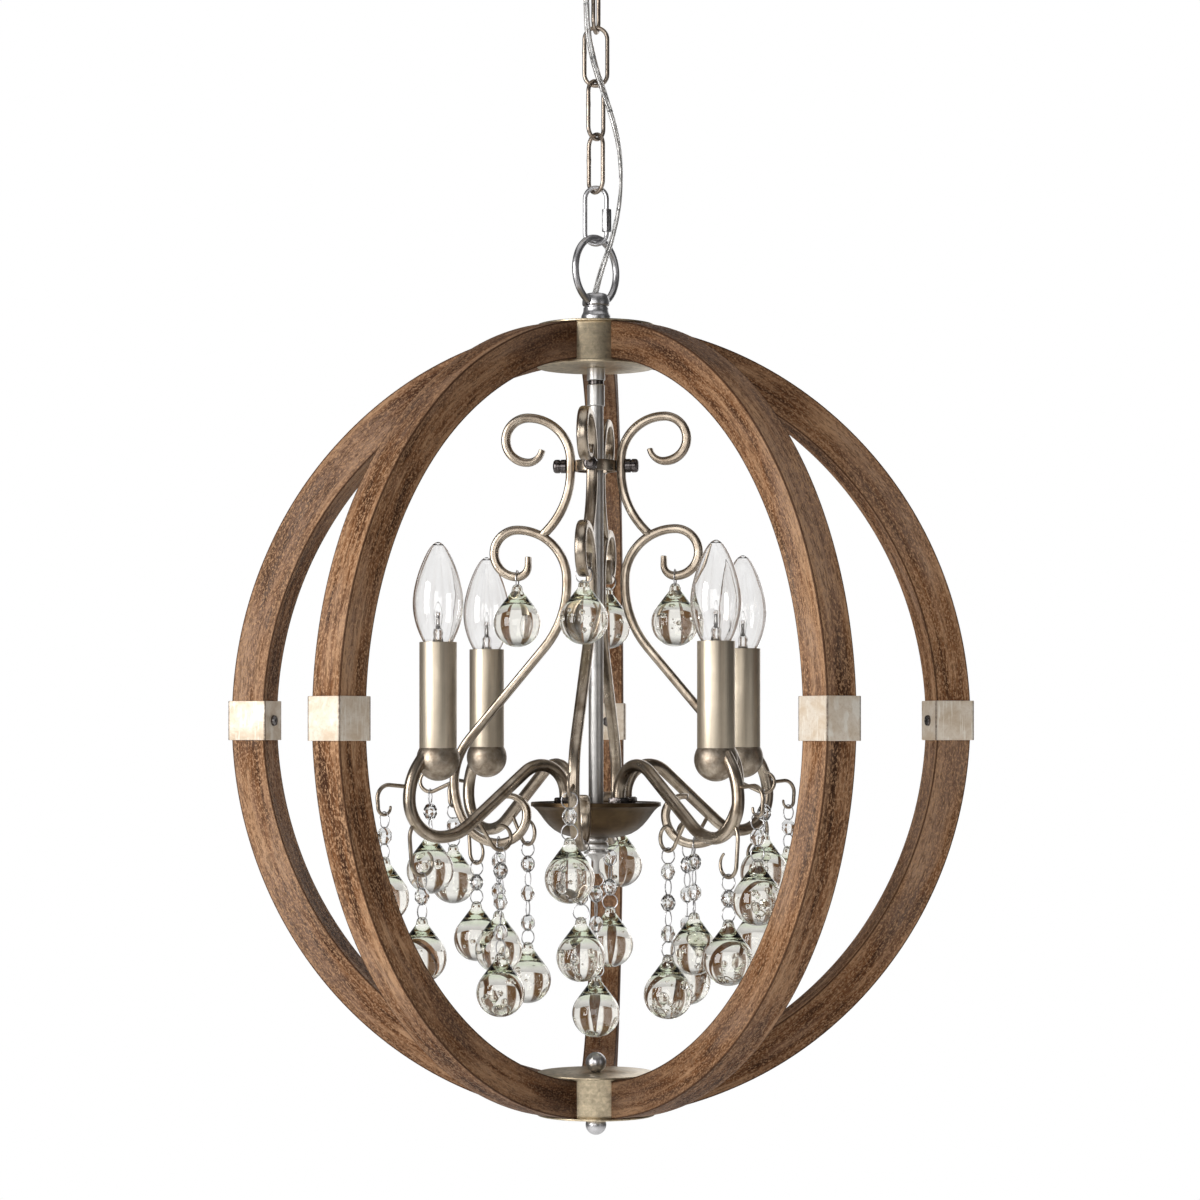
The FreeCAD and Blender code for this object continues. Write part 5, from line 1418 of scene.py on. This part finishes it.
class PENDANT_OT_stem(Operator):
    """Turn the stem's couplings and cover tube, and finish its rod"""

    bl_idname = "pendant.stem"
    bl_label = "Stem"

    def execute(self, context):
        low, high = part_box("stem_covers")
        top = high.z
        tube_top = top - 0.0274
        bore = 0.0032
        radius = settings("chandelier").tube_radius
        inner = radius - 0.0013
        upper = [(bore, -0.009), (0.0065, -0.009), (0.0065, 0), (bore, 0)]
        gap = [(bore, -0.012), (0.0056, -0.012), (0.0056, -0.009), (bore, -0.009)]
        lower = [(bore, -0.0154), (0.00625, -0.0154), (0.00625, 0), (bore, 0)]
        tube = [(inner, low.z), (radius, low.z), (radius, tube_top), (inner, tube_top)]
        piece = Piece()
        piece.add(lathe(eased(upper, 0.0006, True), 48), 0, raised(top))
        piece.add(lathe(eased(gap, 0.0003, True), 48), 1, raised(top), seed=3)
        piece.add(lathe(eased(lower, 0.0008, True), 48), 0, raised(top - 0.012), seed=1)
        piece.add(lathe(eased(tube, 0.0003, True), 48), 0, seed=2)
        finishes = ["stem_silver", "gunmetal"]
        piece.build("stem_covers_turned", finishes, "lantern", ["stem_covers"])
        refinish("stem_rod", "zinc")
        return {"FINISHED"}


class PENDANT_OT_scrolls(Operator):
    """Forge the scrolls with their hooks, and make the bracket and the nuts"""

    bl_idname = "pendant.scrolls"
    bl_label = "Scrolls"

    def execute(self, context):
        sizes = settings("chandelier")
        crown = bent_line(*CROWN)[0]
        body, marks = bent_line(*BODY)
        hook = hook_line(marks, *BODY_HOOK)
        section = soft_section(sizes.bar_thickness, sizes.bar_width)
        wire = round_section(sizes.hook_wire)
        piece = Piece()
        for index, azimuth in enumerate(SCROLL_AZIMUTHS):
            where = round_axis(azimuth)
            piece.add(sweep(crown, section, swell=self.hammered_tip, dome=0.25), 0, where, seed=index * 3 + 1)
            piece.add(sweep(body, section, swell=self.hammered, dome=0.25), 0, where, seed=index * 3 + 2)
            piece.add(sweep(hook, wire, swell=drawn_tip), 0, where, seed=index * 3 + 3)
        piece.build("scrolls_forged", ["pewter"], "lantern", ["scrolls"], angle=60)
        self.bracket(sizes)
        self.nuts(sizes)
        return {"FINISHED"}

    def hammered(self, distance, total):
        """A bar's ends are beaten thin and wide over their last stretch."""
        return self.hammered_tip(max(distance, total - distance), total)

    def hammered_tip(self, distance, total):
        """The same for a bar whose first end is welded on."""
        stretch = 0.022
        share = max(0.0, 1.0 - (total - distance) / stretch)
        share = share * share * (3 - 2 * share)
        return 1.0 - 0.36 * share, 1.0 + 0.12 * share

    def bracket(self, sizes):
        outside = sizes.bracket_radius
        inside = outside - 0.002
        sleeve = sizes.tube_radius + FIT
        web = 0.00125
        depth = 0.004
        outline = [(sleeve, -web), (inside, -web), (inside, -depth), (outside, -depth)]
        outline += [(radius, -level) for radius, level in reversed(outline)]
        made = lathe(eased(outline, 0.0005, True, 2), 64)
        where = round_axis(0, 0, sizes.bracket_height)
        single("bracket_turned", made, where, "pewter", "lantern", "scroll_bracket")

    def nuts(self, sizes):
        height = sizes.bracket_height
        inner = sizes.bracket_radius - 0.002
        seat = sizes.bracket_radius + FIT + sizes.bar_thickness + FIT
        end = seat - sizes.bracket_radius + 0.002
        shank = [(0, 0), (0.002, 0), (0.002, end), (0, end)]
        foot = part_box("arm_plate")[1].z - ORB_CENTER
        outwards = Matrix.Rotation(math.radians(90), 4, "Y")
        piece = Piece()
        for index, azimuth in enumerate(SCROLL_AZIMUTHS):
            piece.add(lathe(CAP_NUT, 32), 0, round_axis(azimuth, seat, height) @ outwards, seed=index)
            piece.add(lathe(shank, 16), 0, round_axis(azimuth, inner, height) @ outwards, seed=index + 5)
        for index, azimuth in enumerate(ARM_AZIMUTHS):
            nut = hex_nut(0.014, 0.0045, sizes.arm_radius + FIT)
            piece.add(nut, 0, round_axis(azimuth, ARM_FOOT, foot), seed=index + 9)
        piece.build("fixing_nuts_turned", ["gunmetal"], "lantern", ["fixing_nuts"])


class PENDANT_OT_arms(Operator):
    """Spin the bowl and bend the candle arms with their hooks"""

    bl_idname = "pendant.arms"
    bl_label = "Bowl and arms"

    def execute(self, context):
        sizes = settings("chandelier")
        self.bowl(sizes)
        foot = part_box("arm_plate")[1].z - ORB_CENTER
        arm, marks = bent_line((ARM_FOOT, foot), 90, ARM_MOVES)
        hooks = [hook_line(marks, *hook) for hook in ARM_HOOKS]
        piece = Piece()
        for index, azimuth in enumerate(ARM_AZIMUTHS):
            where = round_axis(azimuth)
            piece.add(sweep(arm, round_section(sizes.arm_radius, 20)), 0, where, seed=index * 4 + 1)
            for number, hook in enumerate(hooks):
                made = sweep(hook, round_section(sizes.hook_wire), swell=drawn_tip)
                piece.add(made, 0, where, seed=index * 4 + number + 2)
        piece.build("arms_bent", ["pewter"], "lantern", ["candle_arms"], angle=60)
        return {"FINISHED"}

    def bowl(self, sizes):
        rim = sizes.bowl_radius
        depth = sizes.bowl_depth
        wall = 0.0015
        outside = [(ROD_BORE, 0), (0.0125, 0)]
        outside += [(share * rim, level * depth) for share, level in BOWL_SIDE]
        outside += [(rim, depth - 0.0030), (rim, depth - 0.0004), (rim - 0.0005, depth)]
        inside = [(rim - wall, depth), (rim - wall, depth - 0.0036)]
        inside += [(max(ROD_BORE, r - wall), z + wall * 0.75) for r, z in reversed(outside[2:-4])]
        bowl = lathe(outside + inside + [(ROD_BORE, wall)], 96)
        where = raised(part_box("bowl")[0].z)
        single("bowl_spun", bowl, where, "bowl_bronze", "lantern", "bowl", angle=50)

        low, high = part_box("arm_plate")
        edge = rim - wall - FIT
        plate = [(ROD_BORE, low.z), (edge, low.z), (edge, high.z), (ROD_BORE, high.z)]
        plate = lathe(eased(plate, 0.0004, True, 2), 96)
        single("arm_plate_turned", plate, raised(0), "bowl_bronze", "lantern", "arm_plate")

        low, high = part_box("bowl_finial")
        finial = [(0, low.z), (0.0018, low.z), (0.0022, low.z + 0.0006)]
        finial += [(radius, high.z - level) for radius, level in reversed(FINIAL_SIDE)] + [(0, high.z)]
        finial = lathe(finial, 48)
        single("finial_turned", finial, raised(0), "stem_silver", "lantern", "bowl_finial")


class PENDANT_OT_candles(Operator):
    """Make the ball cups, the candle sleeves, the lamp holders and the clear bulbs"""

    bl_idname = "pendant.candles"
    bl_label = "Candles"

    def execute(self, context):
        sizes = settings("chandelier")
        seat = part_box("candle_sleeves")[0].z - ORB_CENTER
        radius = sizes.sleeve_radius
        inner = radius - 0.0008
        tall = sizes.sleeve_height
        sink = math.sqrt(sizes.cup_radius ** 2 - radius ** 2)
        ball = ball_arc(sizes.cup_radius, -sink, -86, math.degrees(math.asin(sink / sizes.cup_radius)), 26)
        ball = [(0, -sink - sizes.cup_radius)] + ball + [(radius - 0.0004, 0.0), (0, 0.0)]
        sleeve = [(inner, 0), (radius, 0), (radius, tall), (inner, tall)]
        holder_top = tall - 0.005
        socket = holder_top - 0.024
        holder = [(0, 0), (0.0105, 0), (0.0105, holder_top)]
        holder += [(0.0072, holder_top), (0.0072, socket), (0, socket)]
        cups = Piece()
        sleeves = Piece()
        holders = Piece()
        for index, azimuth in enumerate(ARM_AZIMUTHS):
            where = round_axis(azimuth, sizes.candle_reach, seat)
            cups.add(lathe(ball, 48), 0, where, seed=index)
            sleeves.add(lathe(eased(sleeve, 0.0003, True, 2), 64), 0, where, seed=index)
            holders.add(lathe(eased(holder, 0.0006, False, 2), 40), 0, where, seed=index)
        cups.build("cups_turned", ["cup_bronze"], "lantern", ["candle_cups"])
        sleeves.build("sleeves_drawn", ["champagne"], "lantern", ["candle_sleeves"])
        holders.build("holders_moulded", ["holder_plastic"], "lantern", ["lamp_holders"])
        for index, azimuth in enumerate(ARM_AZIMUTHS, start=1):
            self.bulb(sizes, index, azimuth)
        return {"FINISHED"}

    def bulb(self, sizes, index, azimuth):
        node = "bulb_%d" % index
        low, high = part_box(node)
        where = round_axis(azimuth, sizes.candle_reach, low.z - ORB_CENTER)
        piece = Piece()
        piece.add(self.cap(), 1, where, seed=index)
        piece.add(self.envelope(sizes.bulb_radius, high.z - low.z), 0, where, seed=index)
        self.inside_works(piece, where, index)
        finishes = ["bulb_glass", "brass_cap", "tinned_wire"]
        piece.build(node + "_clear", finishes, node, [node], angle=60)

    def envelope(self, radius, tall):
        """The blown skin of a candle bulb: up its outside from the cap to the tip and down its inside."""
        wall = 0.0010
        outside = self.glass_outline(radius, tall)
        inside = [(r - wall, z) for r, z in outside if r > 2.5 * wall and z < tall - 2 * wall]
        return lathe(outside + [(0, tall - 2.2 * wall)] + inside[::-1], 56)

    def glass_outline(self, radius, tall):
        """Up the outside of a candle bulb, from its cap through the belly to the tip."""
        mouth = BULB_NECK + 0.0045
        belly = mouth + 0.4 * (tall - mouth)
        narrow = 0.58 * radius
        steps = 12
        out = [(0.0068, BULB_NECK), (0.0078, BULB_NECK + 0.0013), (0.0090, BULB_NECK + 0.0029)]
        for step in range(steps):
            share = 1 - step / steps
            out.append((radius - (radius - narrow) * share ** 2.1, mouth + (belly - mouth) * (1 - share)))
        steps = 24
        for step in range(steps):
            share = math.sin(math.radians(90 * step / steps))
            taper = 0.78 - 0.2 * share ** 2
            out.append((radius * (1 - share ** 1.7) ** taper, belly + (tall - belly) * share))
        return out + [(0, tall)]

    def cap(self):
        """A screw cap: a contact, an insulator's shoulder and rolled threads."""
        outline = list(BULB_CONTACT)
        for turn in range(6):
            level = 0.0046 + turn * 0.0028
            outline += [(radius, level + rise) for radius, rise in BULB_THREAD]
        outline += [(0.0066, BULB_NECK - 0.002), (0.0068, BULB_NECK - 0.0002)]
        outline += [(0.0062, BULB_NECK), (0, BULB_NECK)]
        return lathe(outline, 40)

    def inside_works(self, piece, where, index):
        """The glass stem with its pinch, two lead wires and the coiled filament between them."""
        stem = [(radius, BULB_NECK + level) for radius, level in BULB_STEM]
        piece.add(lathe(stem, 24), 0, where, seed=index + 20)
        tube = [Vector((0, 0, BULB_NECK + 0.0135)), Vector((0, 0, BULB_NECK + 0.0225))]
        piece.add(sweep(tube, round_section(0.0008, 10)), 2, where, seed=index + 30)
        tips = []
        for side in (-1, 1):
            line = [Vector((side * reach, 0, BULB_NECK + level)) for reach, level in BULB_LEAD]
            piece.add(sweep(line, round_section(0.0002, 8)), 2, where, seed=index)
            tips.append(line[-1])
        coil = []
        rounds = 22
        steps = rounds * 8
        for step in range(steps + 1):
            share = step / steps
            base = tips[0].lerp(tips[1], share) + Vector((0, 0, 0.0085 * math.sin(math.pi * share) ** 0.8))
            turn = 2 * math.pi * rounds * share
            coil.append(base + Vector((0, math.cos(turn), math.sin(turn))) * 0.00026)
        piece.add(sweep(coil, round_section(0.00008, 5)), 2, where, seed=index)


class PENDANT_OT_strings(Operator):
    """Hang the strings of jump rings, faceted beads and bubbled drops"""

    bl_idname = "pendant.strings"
    bl_label = "Strings of glass"

    def execute(self, context):
        sizes = settings("glass")
        for number, node in enumerate(sorted(JOINTS)):
            kind = node if node in STRINGS else node.rsplit("_", 1)[0]
            if kind in STRINGS:
                self.string(sizes, node, number, *STRINGS[kind])
        return {"FINISHED"}

    def string(self, sizes, node, number, beads, reach):
        joint = JOINTS[node]
        axis = Vector(joint["axis"])
        where = Matrix.Translation(joint["pos_m"]) @ Matrix.Rotation(math.atan2(axis.y, axis.x), 4, "Z")
        chance = random.Random(number + 11)
        piece = Piece()
        wire = 0.0005
        on_bar = reach > 0.003
        radius = sizes.ring_radius + (BAR_RING if on_bar else 0.0)
        center = reach + (BAR_PLAY if on_bar else HOOK_PLAY) + wire - radius
        self.ring(piece, where, radius, radius, center, number)
        low = center - radius
        radius = sizes.ring_radius
        for index in range(beads):
            bead_center = low - BEAD_PITCH
            spin = Matrix.Rotation(chance.uniform(0, 1.0), 4, "Z")
            piece.add(self.bead(sizes), 1, where @ raised(bead_center) @ spin, seed=number + index)
            ring_top = bead_center - BEAD_PITCH
            last = index == beads - 1
            spun = where if last else where @ Matrix.Rotation(chance.uniform(-1.2, 1.2), 4, "Z")
            self.ring(piece, spun, radius if last else LINK_HALF, radius, ring_top - radius, number + index)
            low = ring_top - 2 * radius
        hung = where @ raised(low + NIB_REACH)
        piece.add(self.drop(sizes), 0, hung)
        counts = (sizes.bubbles // 4, sizes.bubbles // 2, sizes.bubbles, 2 * sizes.bubbles)
        for _ in range(chance.choice(counts)):
            piece.add(self.bubble(sizes, chance), 0, hung)
        finishes = ["drop_glass", "bead_glass", "nickel"]
        piece.build(node + "_glass", finishes, node, [node], angle=24)

    def ring(self, piece, where, half_width, half_height, center, seed):
        """A jump ring, or a narrower link between two beads."""
        line = [Vector((point.x * half_width, 0, point.z * half_height)) for point in circle_line(1.0, 32)]
        made = sweep(line, round_section(settings("glass").ring_wire, 8), closed=True)
        upright = raised(center) @ turned(90)
        piece.add(made, 2, where @ upright, seed=seed)

    def bead(self, sizes):
        """A crystal bead cut in rows of facets, each row set half a facet round from the next."""
        sides = BEAD_FACETS
        rows = BEAD_ROWS + tuple((reach, -level, shift) for reach, level, shift in BEAD_ROWS[2::-1])
        verts = [Vector((0, 0, sizes.bead_half))]
        for reach, level, shift in rows:
            for index in range(sides):
                turn = 2 * math.pi * (index + shift) / sides
                around = Vector((math.cos(turn), math.sin(turn), 0))
                verts.append(around * reach * sizes.bead_radius + Vector((0, 0, level * sizes.bead_half)))
        verts.append(Vector((0, 0, -sizes.bead_half)))
        faces = []
        for row, (reach, level, shift) in enumerate(rows[:-1]):
            for index in range(sides):
                here = 1 + row * sides + index
                near = 1 + row * sides + (index + 1) % sides
                below = here + sides
                beside = near + sides
                if shift == 0:
                    faces += [[here, near, below], [near, beside, below]]
                else:
                    faces += [[here, near, beside], [here, beside, below]]
        last = len(verts) - 1
        for index in range(sides):
            after = (index + 1) % sides
            faces.append([0, 1 + after, 1 + index])
            faces.append([last, last - sides + index, last - sides + after])
        return verts, outward(verts, faces)

    def drop(self, sizes):
        """A drop of glass: a ball under a straight cone with a rounded nib."""
        radius = sizes.drop_radius
        nib = sizes.nib_radius
        side = ball_arc(radius, radius - sizes.drop_height, -84, DROP_LEAN, 32)
        foot = Vector(side[-1])
        top = foot + Vector((nib - foot.x, (foot.x - nib) / math.tan(math.radians(DROP_LEAN))))
        outline = [(0, -sizes.drop_height)] + side
        outline += [tuple(foot.lerp(top, step / 8)) for step in range(1, 9)]
        for step in range(1, 7):
            turn = math.radians(90 * step / 6)
            outline.append((nib * math.cos(turn) ** 0.7 if step < 6 else 0, top.y * (1 - math.sin(turn))))
        return lathe(outline, 48)

    def bubble(self, sizes, chance):
        """A small ball of air inside the drop; its skin faces inwards."""
        size = chance.choice(BUBBLE_RADII)
        lean = chance.uniform(0, 2 * math.pi)
        reach = sizes.drop_radius * BUBBLE_REACH
        away = reach * chance.random() ** 0.5
        rise = math.sqrt(max(0.0, reach ** 2 - away ** 2)) * chance.uniform(-0.9, 0.9)
        level = sizes.drop_radius - sizes.drop_height + rise
        middle = Vector((away * math.cos(lean), away * math.sin(lean), level))
        verts, faces = lathe([(0, -size)] + ball_arc(size, 0, -60, 60, 5) + [(0, size)], 12)
        return [vert + middle for vert in verts], [face[::-1] for face in faces]


class PENDANT_PT_panel(Panel):
    """The pendant's pieces and settings"""

    bl_idname = "PENDANT_PT_panel"
    bl_label = "Globe pendant light"
    bl_space_type = "VIEW_3D"
    bl_region_type = "UI"
    bl_category = "Pendant"

    def draw(self, context):
        for operator in OPERATORS:
            self.layout.operator(operator.bl_idname)
        for name in GROUPS:
            group = settings(name)
            box = self.layout.box()
            box.label(text=name.capitalize())
            for prop in group.bl_rna.properties:
                if prop.identifier not in ("rna_type", "name"):
                    box.prop(group, prop.identifier)


OPERATORS = (
    PENDANT_OT_stage,
    PENDANT_OT_cord,
    PENDANT_OT_ceiling,
    PENDANT_OT_chain,
    PENDANT_OT_globe,
    PENDANT_OT_stem,
    PENDANT_OT_scrolls,
    PENDANT_OT_arms,
    PENDANT_OT_candles,
    PENDANT_OT_strings,
)
GROUPS = {
    "globe": PENDANT_PG_globe,
    "hanging": PENDANT_PG_hanging,
    "chandelier": PENDANT_PG_chandelier,
    "glass": PENDANT_PG_glass,
    "finishes": PENDANT_PG_finishes,
    "stage": PENDANT_PG_stage,
}


def register():
    for group in (*GROUPS.values(), *OPERATORS, PENDANT_PT_panel):
        bpy.utils.register_class(group)
    for name, group in GROUPS.items():
        setattr(bpy.types.Scene, "pendant_" + name, PointerProperty(type=group))


def unregister():
    for name in GROUPS:
        delattr(bpy.types.Scene, "pendant_" + name)
    for group in (PENDANT_PT_panel, *reversed(OPERATORS), *GROUPS.values()):
        bpy.utils.unregister_class(group)


def main():
    register()
    bpy.ops.pendant.stage()
    bpy.ops.pendant.cord()
    bpy.ops.pendant.ceiling()
    bpy.ops.pendant.chain()
    bpy.ops.pendant.globe()
    bpy.ops.pendant.stem()
    bpy.ops.pendant.scrolls()
    bpy.ops.pendant.arms()
    bpy.ops.pendant.candles()
    bpy.ops.pendant.strings()


if __name__ == "__main__":
    main()
